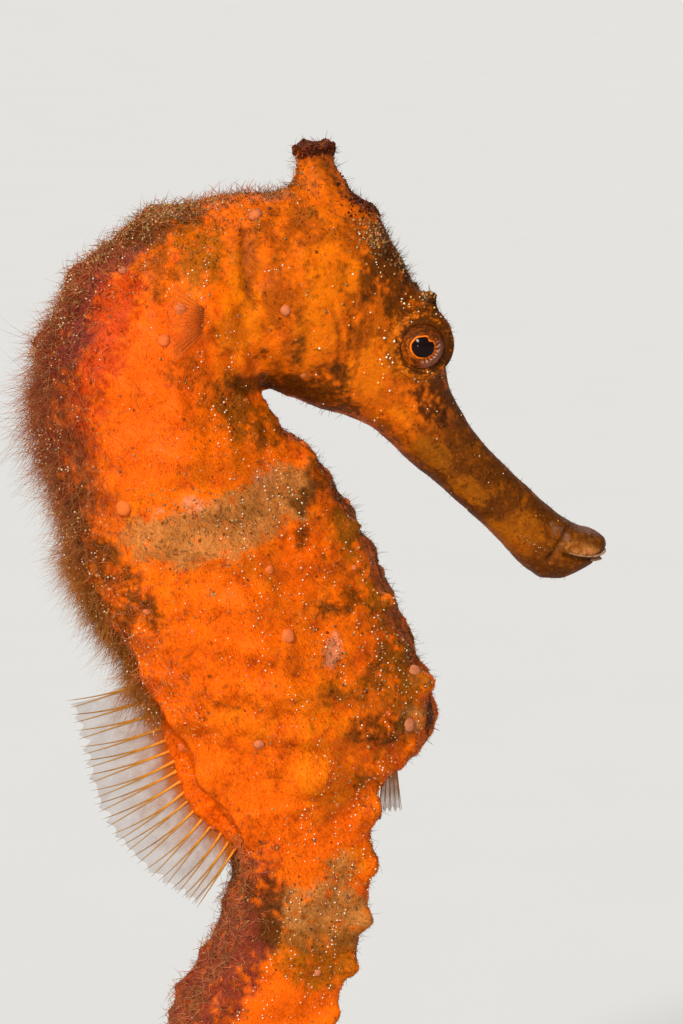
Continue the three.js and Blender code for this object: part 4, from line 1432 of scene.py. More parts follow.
    def edge_hairs(self) -> None:
        """Dark hairs that stand out from the forehead, crown, snout, chin, chest and tail."""
        place = self.skin.place
        head = place.past(44, 40) * (place.turned(1.0, 0.5) + 0.6 * place.turned(2.3, 2.8))
        crown = 1.5 * place.past(22, 26) * place.past(50, 42) * place.turned(1.2, 0.6)
        chest = place.past(50, 56) * (1.0 * place.turned(2.2, 2.7) + 0.15)
        bare = smooth(EYES.off_axis(self.skin.points), 2.4, 3.2) * place.past(1.5, 4.0)
        x, _, z = self.skin.points.T
        brow = np.exp(-(((x - 13.0) / 1.6) ** 2) - ((z - 106.2) / 1.6) ** 2)
        count = self.edge_hair_count
        roots = self.ground.roots(count, (0.12 + head + 1.6 * crown + 3.0 * brow + 0.7 * chest) * bare, 4)
        on_head = roots.place.past(44, 38)
        high = roots.place.past(27, 32) * roots.place.past(46, 42) * roots.place.turned(1.2, 0.5)
        lengths = self.rng.uniform(0.22, 0.62, count) * (1 - 0.25 * on_head + 0.2 * high)
        lengths *= np.clip(roots.place.width / 4, 0.5, 1.15)
        directions = roots.normals + 0.25 * roots.tails
        directions = directions + 0.6 * self._clump(roots.points, 0.9) + 0.4 * self._scatter(count)
        dark = np.where(self.rng.random((count, 1)) < 0.6, Tint.UMBER.rgb * 1.6, Tint.BROWN.rgb)
        dark = blend(dark, Tint.MAROON.rgb * 0.8, 0.7 * roots.place.past(30, 34) * roots.place.past(46, 42))
        Growth(
            "edge_hairs", Shape.strand(2), roots, directions, lengths, self.rng.uniform(*self.fibre_radii, count),
            dark, blend(dark, Tint.STRAW.rgb, np.full(count, 0.25)), 1.2 * self._scatter(count), self.sink,
        ).build(self.fibre)

    def curls(self) -> None:
        """Pale curled threads that lie on the skin of the neck, trunk and tail, and tangle along the back."""
        place = self.skin.place
        patches = smooth(self.lumps.at(self.skin.points, 4.0), -0.1, 0.5)
        body = place.past(36, 46) * place.past(170, 110)
        ridge = place.turned(1.15, 0.5) * (1 - place.past(80, 84) * place.past(97, 93))
        count = self.curl_count
        roots = self.ground.roots(count, (0.05 + 0.32 * patches + 3.2 * ridge) * body, 6)
        lengths = self.rng.uniform(0.35, 0.95, count)
        flat = unit(np.cross(roots.normals, self._scatter(count)))
        bends = unit(np.cross(flat, roots.normals)) * self.rng.uniform(-1.3, 1.3, (count, 1)) - 0.18 * roots.normals
        stand = roots.place.turned(1.0, 0.5)[:, None] * self.rng.uniform(0.0, 2.0, (count, 1))
        lengths *= 1 + 0.9 * roots.place.turned(1.0, 0.4)
        pale = self.rng.random((count, 1))
        tint = np.where(pale < 0.5, Tint.STRAW.rgb, Tint.PINK.rgb) * (0.5 + 0.5 * pale) * 0.75 + roots.colours * 0.3
        Growth(
            "pale_curls", Shape.strand(4), roots, flat + (0.22 + stand) * roots.normals, lengths,
            self.rng.uniform(0.022, 0.042, count), tint, tint * 0.9, bends,
        ).build(self.fibre)

    def flecks(self) -> None:
        """White flecks strewn over the body, gold ones round the eyes, dark pores, and moss on the crown."""
        place, points = self.skin.place, self.skin.points
        patchy = smooth(self.lumps.at(points + 13, 3.0), -0.2, 0.4)
        body = place.past(40, 47) * place.past(188, 160) * place.turned(0.3, 0.8)
        low = place.past(70, 92) * place.turned(1.6, 2.3)
        pale = (Tint.WHITE.rgb, Tint.WHITE.rgb * 0.9, Tint.STRAW.rgb * 1.2, Tint.PINK.rgb)
        white = body * (0.15 + 0.5 * patchy + 0.6 * low) + 0.06
        self._grains("white_flecks", 2200, white, (0.055, 0.13), pale)
        off = EYES.off_axis(points)
        face = place.past(40, 34) * place.turned(0.3, 0.7)
        gold = face * (0.05 + smooth(off, 1.9, 2.2) * smooth(off, 5.5, 2.6)) * (0.3 + patchy)
        self._grains("gold_flecks", 260, gold, (0.11, 0.24), (Tint.WHITE.rgb, (0.85, 0.55, 0.16)))
        dull = smooth(self.skin.colours[:, 0], 0.62, 0.35) * smooth(self.skin.colours[:, 0], 0.05, 0.2)
        self._grains("dark_pores", 700, dull * (body + 0.15) + 0.01, (0.05, 0.13), (Tint.UMBER.rgb * 0.6,))
        top = hump(points[:, 0], 3.3, 2.6) * smooth(points[:, 2], 116.9, 117.7)
        slope = np.exp(-(((points[:, 0] - 8.0) / 1.6) ** 2 + ((points[:, 2] - 113.9) / 1.3) ** 2))
        slope *= place.turned(1.1, 0.5)
        moss = (Tint.MAROON.rgb * 0.8, Tint.MAROON.rgb * 0.4, Tint.UMBER.rgb, Tint.BROWN.rgb * 0.6, Tint.RUST.rgb * 0.5)
        self._grains("crown_moss", 2600, top + 0.30 * slope, (0.09, 0.25), moss)

    def _grains(
        self, name: str, count: int, density: Rows, sizes: tuple[float, float], tints: Sequence[Any]
    ) -> None:
        """Strews small grains.

        Args:
            name: the piece's name.
            count: how many grains.
            density: how dense they are at each vertex of the skin.
            sizes: the smallest and the largest.
            tints: the colours that they are picked from.
        """
        roots = self.ground.roots(count, density, len(name) + 1)
        size = self.rng.uniform(*sizes, count) * roots.place.slim(5, 0.5)
        tint = np.array(tints)[self.rng.integers(0, len(tints), count)]
        Growth(name, Shape.grain(2), roots, roots.normals, size, size, tint).build(self.grit)

    def dotted_rows(self) -> None:
        """Rows of tiny white dots: down the body in wavering lines, across the saddle and behind the head."""
        spots = [self._row(np.linspace(start, end, round((end - start) / 0.48)), turn, side)
                 for start, end, turn in ROW_RUNS for side in (-1.0, 1.0)]
        strings = [self._string(np.array(line), side) for line in DOT_STRINGS for side in (-1.0, 1.0)]
        targets = np.concatenate(spots + strings)
        roots = self.ground.nearest_places(targets)
        keep = self.lumps.at(roots.points + 31, 2.6) > -0.32
        roots = roots.chosen(keep)
        count = roots.count
        size = self.rng.uniform(0.08, 0.18, count) * roots.place.slim(5, 0.5)
        warm = self.rng.random((count, 1))
        tint = Tint.WHITE.rgb * (0.8 + 0.2 * warm) + (warm < 0.25) * np.array([0.0, -0.10, -0.20])
        Growth("dotted_rows", Shape.grain(3), roots, roots.normals, size, size, tint).build(self.grit)

    def _row(self, along: Rows, turn: float, side: float) -> Rows:
        """Places down the body at one turn, which wavers, as rows of along, turn and side.

        Args:
            along: how far along the body each dot is.
            turn: the turn that the row keeps to.
            side: -1 on the right or 1 on the left.

        Returns:
            One row for each dot.
        """
        phase = self.rng.uniform(0, 6)
        wave = 0.05 * np.sin(along / 3.1 + phase) + 0.03 * np.sin(along / 1.3 + 2 * phase)
        jitter, stray = self.rng.uniform(-0.16, 0.16, len(along)), self.rng.normal(0, 0.02, len(along))
        return columns(along + jitter, turn + wave + stray, np.full(len(along), side))

    def _string(self, line: Rows, side: float) -> Rows:
        """Places along a string of dots given by x and z on one side of the body.

        Args:
            line: rows of x and z along the string.
            side: -1 on the right or 1 on the left.

        Returns:
            One row for each dot.
        """
        steps = np.concatenate([[0], np.cumsum(np.linalg.norm(np.diff(line, axis=0), axis=1))])
        at = np.arange(0, steps[-1], 0.40)
        flat = columns(*(np.interp(at, steps, line[:, i]) for i in (0, 1)))
        place = self.skin.line.place(columns(flat[:, 0], np.full(len(at), side * 6.0), flat[:, 1]))
        return columns(place.along, place.turn, np.full(len(at), side))

    def crust(self) -> None:
        """Sand grains and crumbs held by the coat, thickest on the nape, the brows and the saddle."""
        points, place = self.skin.points, self.skin.place
        heaps = (
            ((-9.4, -1.5, 113.6), 1.9, 5.0), ((-9.4, 1.5, 113.6), 1.9, 5.0), ((8.2, -4.2, 111.0), 1.2, 9.0),
            ((8.2, 4.2, 111.0), 1.2, 9.0), ((13.1, -2.7, 105.6), 0.9, 6.0), ((13.1, 2.7, 105.6), 0.9, 6.0),
            ((-2.2, -4.5, 112.9), 0.7, 2.5), ((-2.2, 4.5, 112.9), 0.7, 2.5), ((-0.5, 0, 115.0), 2.2, 2.5),
            ((-5.2, 0, 114.6), 2.0, 2.5),
            ((10.6, -2.6, 108.8), 1.5, 2.0), ((10.6, 2.6, 108.8), 1.5, 2.0),
            ((-13.5, -1.0, 111.0), 1.6, 1.6), ((-19.5, -3.0, 104.0), 1.8, 1.0), ((3.4, 0.0, 118.2), 1.6, 1.0),
            ((-8.0, -8.5, 87.0), 4.5, 0.35), ((-8.0, 8.5, 87.0), 4.5, 0.35), ((3.0, -8.5, 76.4), 1.4, 1.0),
            ((8.5, -6.5, 75.0), 3.5, 0.35), ((8.5, 6.5, 75.0), 3.5, 0.35), ((2.7, -5.5, 53.4), 4.0, 0.25),
            ((-2.9, -8.0, 68.1), 0.9, 2.0),
        )
        density = 0.022 * place.past(26, 40) * place.past(185, 130)
        for centre, reach, strength in heaps:
            density = density + strength * np.exp(-(np.sum((points - centre) ** 2, axis=1) / reach**2))
        count = self.crust_count
        roots = self.ground.roots(count, density, 9)
        size = self.rng.uniform(0.10, 0.32, count) * self.rng.uniform(0.6, 1.0, count)
        tone = self.rng.random((count, 1))
        tint = np.where(tone < 0.62, Tint.STRAW.rgb * 0.75, np.where(tone < 0.80, Tint.GREY.rgb, Tint.OLIVE.rgb * 0.9))
        tint = np.where(tone > 0.93, Tint.PINK.rgb, tint) * self.rng.uniform(0.5, 1.15, (count, 1))
        Growth(
            "crust", Shape.grain(5), roots, roots.normals + 0.5 * self._scatter(count), size, size, tint, sink=0.04
        ).build(self.grit)

    def warts(self) -> None:
        """Round pink and orange warts at their places on both sides."""
        places = (
            # x, z, width
            (-14.3, 89.3, 1.45), (-0.3, 78.3, 1.3), (-2.9, 68.1, 1.1), (-6.2, 89.3, 0.9), (-9.2, 105.7, 1.15),
            (-10.6, 103.3, 1.15), (-8.5, 66.7, 1.0), (-0.4, 104.7, 1.0), (-2.5, 113.0, 1.15), (6.6, 87.8, 0.9),
            (2.4, 93.3, 0.9), (-1.7, 83.8, 0.8), (11.2, 74.1, 1.2), (9.9, 81.2, 1.2), (10.6, 69.3, 1.3),
            (1.9, 98.6, 0.6), (-13.4, 108.9, 0.8), (-6.0, 58.4, 0.8), (3.0, 47.0, 0.7), (-12.5, 80.0, 0.8),
            (-9.0, 78.5, 0.5), (-4.5, 74.5, 0.5), (5.5, 82.5, 0.6),
        )
        targets = np.array([(x, 12.0 * side, z) for x, z, _ in places for side in (-1, 1)])
        found = []
        for x, y, z in targets:
            off = np.hypot(self.skin.points[:, 0] - x, self.skin.points[:, 2] - z)
            near = (off < 0.5) & (np.sign(self.skin.points[:, 1]) == np.sign(y))
            rank = np.where(near, -np.abs(self.skin.points[:, 1]), off + 50)
            found.append(np.argmin(rank))
        roots = self.ground.at_vertices(np.array(found))
        count = roots.count
        size = np.array([wide for _, _, wide in places for _ in (0, 1)]) * self.rng.uniform(0.85, 1.05, count)
        tone = self.rng.uniform(0.25, 0.80, (count, 1))
        tint = Tint.PINK.rgb * 0.9 * tone + roots.colours * (1 - tone)
        Growth(
            "warts", Shape.dome(), roots, roots.normals, size * 0.50, size * 0.95, tint * 0.8, tint,
            0.15 * self._scatter(count), sink=0.12,
        ).build(self.grit)

    def build(self) -> None:
        """Grows the whole coat."""
        for name, count, ends, longest in self.felts:
            self.felt(f"felt_{name}", count, ends, longest)
        self.back_algae()
        self.edge_hairs()
        self.curls()
        self.flecks()
        self.dotted_rows()
        self.crumbs()
        self.crust()
        self.warts()


# ---- fins


@dataclass
class Fan:
    """A fin: bony rays, each forked near its end, and the thin membrane between them."""

    name: str
    roots: Rows
    tips: Rows
    curve: Rows
    ray_radius: float = 0.13
    fork: float = 0.42
    thickness: float = 0.05
    ragged: float = 0.06
    rays_per_cell: int = 4
    rows: int = 14
    haze: float = 0.40
    tints: tuple[tuple[float, float, float], ...] = (
        (0.92, 0.17, 0.003), (0.74, 0.26, 0.008), (0.44, 0.19, 0.025), (0.36, 0.20, 0.06),
    )

    def build(self, ray: Material, veil: Material) -> None:
        """Makes the rays and the membrane in place of the fin's node.

        Args:
            ray: the rays' material.
            veil: the membrane's material.
        """
        finish(self._membrane(), veil, (self.name,))
        finish(self._rays(), ray)

    def _tint(self, out: Rows) -> Rows:
        """The colours from root to tip."""
        stops = (0.0, 0.16, 0.5, 1.0)
        return columns(*(np.interp(out, stops, [tint[i] for tint in self.tints]) for i in range(3)))

    def _rays(self) -> Piece:
        """The forked rays, thick at their roots, joined.

        Returns:
            The object.
        """
        shape = Shape.strand(9, 6)
        t = shape.points[:, 2]
        wide = np.hypot(shape.points[:, 0], shape.points[:, 1])
        wanted = (0.30 + 0.9 * (1 - t) + 1.2 * np.exp(-t / 0.07)) * (t < 0.999)
        shape.points[:, :2] *= (wanted / np.maximum(wide, 1e-6) * (wide > 1e-6))[:, None]
        spread = np.gradient(self.tips, axis=0) * self.fork * 0.5
        across = unit(np.cross(self.tips - self.roots, spread))
        parts = []
        for side in (-1, 1):
            radii = np.full(len(self.roots), self.ray_radius * 0.62)
            bends = self.curve + side * spread
            parts.append(shape.copies(self.roots, self.tips - self.roots - self.curve, across, radii, bends))
        points = np.concatenate(parts)
        piece = shape.joined(f"{self.name}_rays", points)
        paint(piece, "tint", self._tint(np.tile(t, len(points))))
        return piece

    def _membrane(self) -> Piece:
        """The membrane, a little short of the rays' tips and ragged along its edge.

        Returns:
            The object.
        """
        cells = len(self.roots) - 1
        bpy.ops.mesh.primitive_grid_add(x_subdivisions=cells * self.rays_per_cell, y_subdivisions=self.rows, size=2)
        piece = taken(f"{self.name}_membrane")
        flat = corners(piece) * MM
        u, v = (flat[:, 0] + 1) / 2 * cells, (flat[:, 1] + 1) / 2
        cell = np.clip(u.astype(int), 0, cells - 1)
        share = (u - cell)[:, None]
        edges = (self.roots, self.tips, self.curve)
        low, high, bend = (rows[cell] * (1 - share) + rows[cell + 1] * share for rows in edges)
        between = np.abs(np.sin(np.pi * u))
        torn = Lumps(61).at(columns(u * 3.0, u * 0, u * 0), 1.7)
        reach = (v * (0.97 - self.ragged * between - 0.10 * np.maximum(0, torn)))[:, None]
        points = low + (high - low - bend) * reach + bend * reach**2
        points[:, 1] += 0.05 * np.sin(np.pi * 2 * u) * v
        move_corners(piece, points)
        modify(piece, "SOLIDIFY", thickness=self.thickness * MM, offset=0)
        points = corners(piece)
        near = np.argmin(np.sum((points[:, None] - self.roots[None]) ** 2, axis=2), axis=1)
        length = np.linalg.norm(self.tips[near] - self.roots[near], axis=1)
        out = np.clip(np.linalg.norm(points - self.roots[near], axis=1) / length, 0, 1)
        paint(piece, "tint", self._tint(out * 0.7) * np.array([0.55, 0.42, 0.26]))
        veil = piece.data.attributes.new("veil", "FLOAT", "POINT")
        cloud = 1 + Lumps(62).sum(points, (1.2, 0.4), (0.4, 0.3))
        haze = self.haze * (1 + 1.9 * smooth(out, 0.30, 0.04) - 0.6 * smooth(out, 0.1, 0.85)) * cloud
        veil.data.foreach_set("value", np.clip(haze, 0.04, 0.9).astype(np.float32))
        return piece


@dataclass
class Fins:
    """The fin on the back with the flesh at its root, the small one at the vent, and one behind each gill."""

    line: BodyLine
    first: float = 26.1
    last: float = 30.2
    back_rays: int = 17

    def _back_line(self, count: int, rise: Rows) -> Rows:
        """Points along the root of the back's fin, each raised above the back.

        Args:
            count: how many points.
            rise: how far each point is raised.

        Returns:
            Rows of x, y and z.
        """
        samples = np.linspace(self.first, self.last, count) * self.line.steps
        along = np.interp(samples, np.arange(len(self.line.along)), self.line.along)
        points = self.line.back_at(along)
        ahead = unit(np.gradient(points, axis=0))
        raised = points + columns(ahead[:, 1], -ahead[:, 0]) * np.reshape(rise, (-1, 1))
        return columns(raised[:, 0], np.zeros(count), raised[:, 1])

    def _crest(self, count: int) -> Rows:
        """How far the ridge that carries the back's fin stands above the back."""
        return np.interp(np.linspace(0, 1, count), (0, 0.15, 0.5, 0.8, 1), (-0.6, 0.4, 1.4, 1.55, 0.7))

    def root_strip(self) -> Piece:
        """The ridge of flesh that the back's fin grows from, as a closed tube that the skin takes in.

        Returns:
            The object.
        """
        count = 2 * self.back_rays
        centre = self._back_line(count, self._crest(count) - 0.85)
        return tube("fin_root", "POLY", centre, 1.0, (0.98, 0.85) * self.back_rays, 4)

    def back_fan(self) -> Fan:
        """The fin on the back, spread over the root of the tail.

        Returns:
            The fin.
        """
        share = np.linspace(0, 1, self.back_rays)
        turn = np.radians(178 + 68 * share**1.3)
        reach = 4.6 + 0.6 * share + 1.8 * np.sin(np.pi * share)
        roots = self._back_line(self.back_rays, self._crest(self.back_rays) - 0.9)
        aim = columns(np.cos(turn), np.zeros(len(turn)), np.sin(turn))
        tips = self._back_line(self.back_rays, np.array(1.8)) + aim * reach[:, None]
        tips[:, 1] += 0.22 * np.sin(np.arange(self.back_rays) * 1.9)
        sweep = columns(np.sin(turn), np.zeros(len(turn)), -np.cos(turn))
        wag = 0.13 + 0.06 * np.sin(np.arange(self.back_rays) * 2.3)
        return Fan("dorsal_fin", roots, tips, sweep * (reach * wag)[:, None], ray_radius=0.17, fork=0.55)

    def gill_fan(self, side: int) -> Fan:
        """The small fin behind a gill cover, on the right at -1 or the left at 1.

        Args:
            side: -1 on the right or 1 on the left.

        Returns:
            The fin.
        """
        turn = np.linspace(-0.6, 0.6, 15)
        swing = math.radians(22)
        away = np.array([-math.cos(swing), side * math.sin(swing), 0.0])
        rise = np.array([0.0, 0.0, 1.0])
        start = np.array([-6.3, side * 6.3, 104.5])
        roots = start + away * 0.9 * np.cos(turn)[:, None] + rise * (np.sin(turn) * 1.5)[:, None]
        tips = start + away * (5.0 * np.cos(turn))[:, None] + rise * (np.sin(turn) * 5.7)[:, None]
        name = f"pectoral_fin_{'right' if side < 0 else 'left'}"
        near_skin = ((0.62, 0.10, 0.003), (0.60, 0.12, 0.005), (0.60, 0.16, 0.02), (0.60, 0.24, 0.06))
        return Fan(
            name, roots, tips, tips * 0, ray_radius=0.04, fork=0.4, thickness=0.03, rows=8, haze=0.15, tints=near_skin
        )

    def vent_fan(self) -> Fan:
        """The tiny fin just behind the vent.

        Returns:
            The fin.
        """
        share = np.linspace(-0.5, 0.5, 5)
        turn = -math.pi / 2 + share * 0.2
        aim = columns(np.cos(turn), np.zeros(5), np.sin(turn))
        start = np.array([10.4, 0.0, 65.0]) + columns(share * 0.88, np.zeros(5), np.zeros(5))
        return Fan(
            "anal_fin", start + aim * 0.6, start + aim * 5.5, aim * 0, ray_radius=0.09, rows=8, haze=0.8,
            tints=((0.62, 0.20, 0.01), (0.66, 0.26, 0.02), (0.62, 0.28, 0.04), (0.60, 0.32, 0.09)),
        )

    def build(self, ray: Material, veil: Material) -> None:
        """Makes all the fins."""
        for fan in (self.back_fan(), self.gill_fan(-1), self.gill_fan(1), self.vent_fan()):
            fan.build(ray, veil)


# ---- eyes


@dataclass
class Eye:
    """One eye: a ball with a slightly raised clear front over its pupil."""

    name: str
    side: int
    place: EyePlace = EYES
    front: float = 1.32
    bulge: float = 0.16

    def build(self, material: Material) -> None:
        """Makes the eye in place of its node.

        Args:
            material: the eye's material.
        """
        at = Vector((self.place.x, self.side * self.place.out, self.place.z)) * MM
        bpy.ops.mesh.primitive_uv_sphere_add(
            segments=72, ring_count=60, radius=self.place.radius * MM, location=at, rotation=(math.pi / 2, 0, 0)
        )
        piece = taken(self.name)
        points = corners(piece)
        off = self.place.off_pupil(points)
        outer = np.sign(points[:, 1] - at.y / MM) == self.side
        points[:, 1] += np.where(outer, self.side * self.bulge * smooth(off, self.front, 0.3), 0.0)
        move_corners(piece, points)
        finish(piece, material, (self.name,))


@dataclass
class Eyelid:
    """The soft wrinkled ring of skin that closes the gap between an eye and its rim."""

    side: int
    place: EyePlace = EYES
    inner: float = 1.90
    outer: float = 2.80
    rise: float = 1.02
    fall: float = 0.30

    def build(self, markings: Markings, line: BodyLine, material: Material) -> None:
        """Makes the ring and paints it as the skin round it is painted.

        Args:
            markings: the skin's colours.
            line: the body's line.
            material: the skin's material.
        """
        middle, half = (self.inner + self.outer) / 2, (self.outer - self.inner) / 2
        bpy.ops.mesh.primitive_torus_add(
            major_segments=160, minor_segments=24, major_radius=middle, minor_radius=half, rotation=(math.pi / 2, 0, 0)
        )
        piece = taken(f"eyelid_{'right' if self.side < 0 else 'left'}")
        flat = corners(piece) * MM
        off = np.hypot(flat[:, 0], flat[:, 2])
        share = (off - self.inner) / (self.outer - self.inner)
        thick = np.where(flat[:, 1] * self.side > 0, 0.06, 0.42) * np.sin(np.arccos(np.clip(2 * share - 1, -1, 1)))
        points = columns(flat[:, 0] + self.place.x, flat[:, 1], flat[:, 2] + self.place.z)
        wrinkle = -0.07 * self.place.streaks(Lumps(5), points)
        high = self.rise - self.fall * share + np.sign(flat[:, 1] * self.side) * thick + wrinkle
        points[:, 1] = self.side * (self.place.out + high)
        move_corners(piece, points)
        edit(piece, lambda: bpy.ops.mesh.normals_make_consistent(inside=False))
        paint(piece, "tint", markings.colours(points, line.place(points)))
        finish(piece, material)


@dataclass
class Lips:
    """The pale rim of the upper lip and the small fold of skin between the jaws."""

    rim: tuple[tuple[float, float], ...] = (
        (25.6, 82.30), (26.4, 82.05), (27.2, 81.90), (28.0, 81.82), (28.7, 81.90), (29.1, 82.05),
    )
    front: float = 82.1
    radius: float = 0.10
    fold_at: tuple[float, float, float] = (27.9, 0.0, 81.45)
    fold_size: tuple[float, float, float] = (1.25, 1.85, 0.30)

    def _path(self, skin: Skin) -> Rows:
        """The rim's line on the skin, from the right hinge round the front to the left one.

        Args:
            skin: the finished skin.

        Returns:
            Rows of x, y and z.
        """
        near = skin.points[skin.place.along < 9]
        right = near[near[:, 1] < 0.0]
        steps = np.linspace(0, len(self.rim) - 1, 16)
        flat = columns(*(np.interp(steps, range(len(self.rim)), [at[i] for at in self.rim]) for i in (0, 1)))
        half = []
        for x, z in flat:
            off = np.hypot(right[:, 0] - x, right[:, 2] - z)
            close = right[off < max(0.3, off.min() + 0.1)]
            half.append((x, close[:, 1].min(), z))
        for y in (-0.9, -0.6, -0.3, 0.0):
            close = near[(np.abs(near[:, 1] - y) < 0.2) & (np.abs(near[:, 2] - self.front) < 0.2)]
            half.append((close[:, 0].max(), y, self.front))
        line = np.array(half)
        line[1:-1] = (line[:-2] + line[1:-1] * 2 + line[2:]) / 4
        return np.concatenate([line, line[-2::-1] * np.array([1.0, -1.0, 1.0])])

    def build(self, skin: Skin, material: Material) -> None:
        """Makes the rim and the fold.

        Args:
            skin: the skin that they lie on.
            material: their material.
        """
        path = self._path(skin)
        widths = [0.35 + 0.65 * math.sin(math.pi * i / (len(path) - 1)) for i in range(len(path))]
        rim = tube("lip_rim", "NURBS", path, self.radius, widths, 3)
        paint(rim, "tint", np.tile(np.array([0.42, 0.22, 0.12]), (len(rim.data.vertices), 1)))
        finish(rim, material)
        bpy.ops.object.select_all(action="DESELECT")
        bpy.ops.mesh.primitive_uv_sphere_add(
            segments=48, ring_count=28, radius=MM, location=[at * MM for at in self.fold_at],
            rotation=(0, math.radians(8), 0), scale=self.fold_size,
        )
        fold = taken("lip_fold")
        points, middle = corners(fold), np.array(self.fold_at)
        ribs = Lumps(9).sum(points * np.array([0.6, 2.0, 0.6]), (0.5, 0.10), (0.25, 0.06))
        move_corners(fold, middle + (points - middle) * (1 + ribs)[:, None])
        shade = 0.9 + 0.8 * Lumps(9).at(points * np.array([1.0, 2.2, 1.0]), 0.5)
        paint(fold, "tint", np.array([0.50, 0.26, 0.15]) * shade[:, None])
        finish(fold, material)


# ---- stand


@dataclass
class Stand:
    """The display stand: a turned base and two steel rods with cradles."""

    radius: float = 27.0
    height: float = 6.0
    groove_in: float = 3.4
    groove_wide: float = 0.5
    groove_deep: float = 0.35
    edge: float = 1.1
    middle: float = 8.0
    voxel: float = 0.14

    def build(self, nodes: dict[str, Piece], wood: Material, steel: Material) -> None:
        """Makes the stand in place of its nodes.

        Args:
            nodes: the solid nodes by name.
            wood: the base's material.
            steel: the rods' material.
        """
        base = self._base()
        finish(base, wood, ("stand_base",))
        activate(base)
        bpy.ops.object.shade_smooth_by_angle(angle=math.radians(35))
        for name in ("stand_rod_rear", "stand_rod_front"):
            finish(self._rod(name, nodes[name]), steel, (name,))

    def _base(self) -> Piece:
        """A disc with rounded edges and a fine groove round its top.

        Returns:
            The object.
        """
        bpy.ops.mesh.primitive_cylinder_add(
            vertices=128, radius=self.radius * MM, depth=self.height * MM, location=(0, 0, self.height / 2 * MM)
        )
        piece = taken("stand_disc")

        def pick_top() -> None:
            """Selects the round face on top."""
            bpy.ops.object.mode_set(mode="OBJECT")
            piece.data.polygons.foreach_set("select", [face.normal.z > 0.9 for face in piece.data.polygons])
            bpy.ops.object.mode_set(mode="EDIT")

        edit(
            piece,
            lambda: bpy.ops.mesh.select_mode(type="FACE"),
            lambda: bpy.ops.mesh.select_all(action="DESELECT"),
            pick_top,
            lambda: bpy.ops.mesh.inset(thickness=self.groove_in * MM),
            lambda: bpy.ops.mesh.inset(thickness=self.groove_wide / 2 * MM, depth=-self.groove_deep * MM),
            lambda: bpy.ops.mesh.inset(thickness=self.groove_wide / 2 * MM, depth=self.groove_deep * MM),
            lambda: bpy.ops.mesh.inset(thickness=self.middle * MM),
        )
        modify(piece, "BEVEL", width=self.edge * MM, segments=5, limit_method="ANGLE", angle_limit=math.radians(60))
        return piece

    def _rod(self, name: str, node: Piece) -> Piece:
        """A rod with its collar and cradle, rounded over from the solid.

        Args:
            name: the piece's name.
            node: the solid node.

        Returns:
            The object.
        """
        piece = linked(f"{name}_steel", node.data.copy())
        edit(piece, lambda: bpy.ops.mesh.remove_doubles(threshold=1e-6))
        modify(piece, "REMESH", mode="VOXEL", voxel_size=self.voxel * MM)
        modify(piece, "SMOOTH", factor=0.5, iterations=16)
        return piece


# ---- materials


def operator(operation: str, turned: bool = False) -> Callable[["Value", Any], "Value"]:
    """Makes one of a value's operators.

    Args:
        operation: what its Math node does.
        turned: whether the value comes second, as in a reflected form.

    Returns:
        The operator as a method.
    """

    def method(self: "Value", other: Any) -> "Value":
        """The Math node's result."""
        return self.math(operation, *((other, self) if turned else (self, other)))

    return method


class Value:
    """A node's output, usable in sums: each sum adds its Math node."""

    def __init__(self, graph: "Graph", socket: bpy.types.NodeSocket) -> None:
        """Wraps an output of one graph."""
        self.graph = graph
        self.socket = socket

    def math(self, operation: str, *terms: Any) -> "Value":
        """The result of a Math node."""
        return self.graph.node("ShaderNodeMath", {"operation": operation}, dict(enumerate(terms)))

    __add__, __radd__ = operator("ADD"), operator("ADD", turned=True)
    __sub__, __rsub__ = operator("SUBTRACT"), operator("SUBTRACT", turned=True)
    __mul__, __rmul__ = operator("MULTIPLY"), operator("MULTIPLY", turned=True)
    __truediv__, __pow__ = operator("DIVIDE"), operator("POWER")

    def angle_from(self, across: "Value") -> "Value":
        """The angle of the direction with this height and that reach across."""
        return self.math("ARCTAN2", self, across)

    def wave(self) -> "Value":
        """The sine."""
        return self.math("SINE", self)

    def step(self, low: float, high: float) -> "Value":
        """A soft step from 0 at low to 1 at high.

        Args:
            low: where the step is 0.
            high: where the step is 1.

        Returns:
            The step.
        """
        if low > high:
            return 1 - self.step(high, low)
        inputs = {"Value": self, "From Min": low, "From Max": high}
        return self.graph.node("ShaderNodeMapRange", {"interpolation_type": "SMOOTHSTEP"}, inputs)


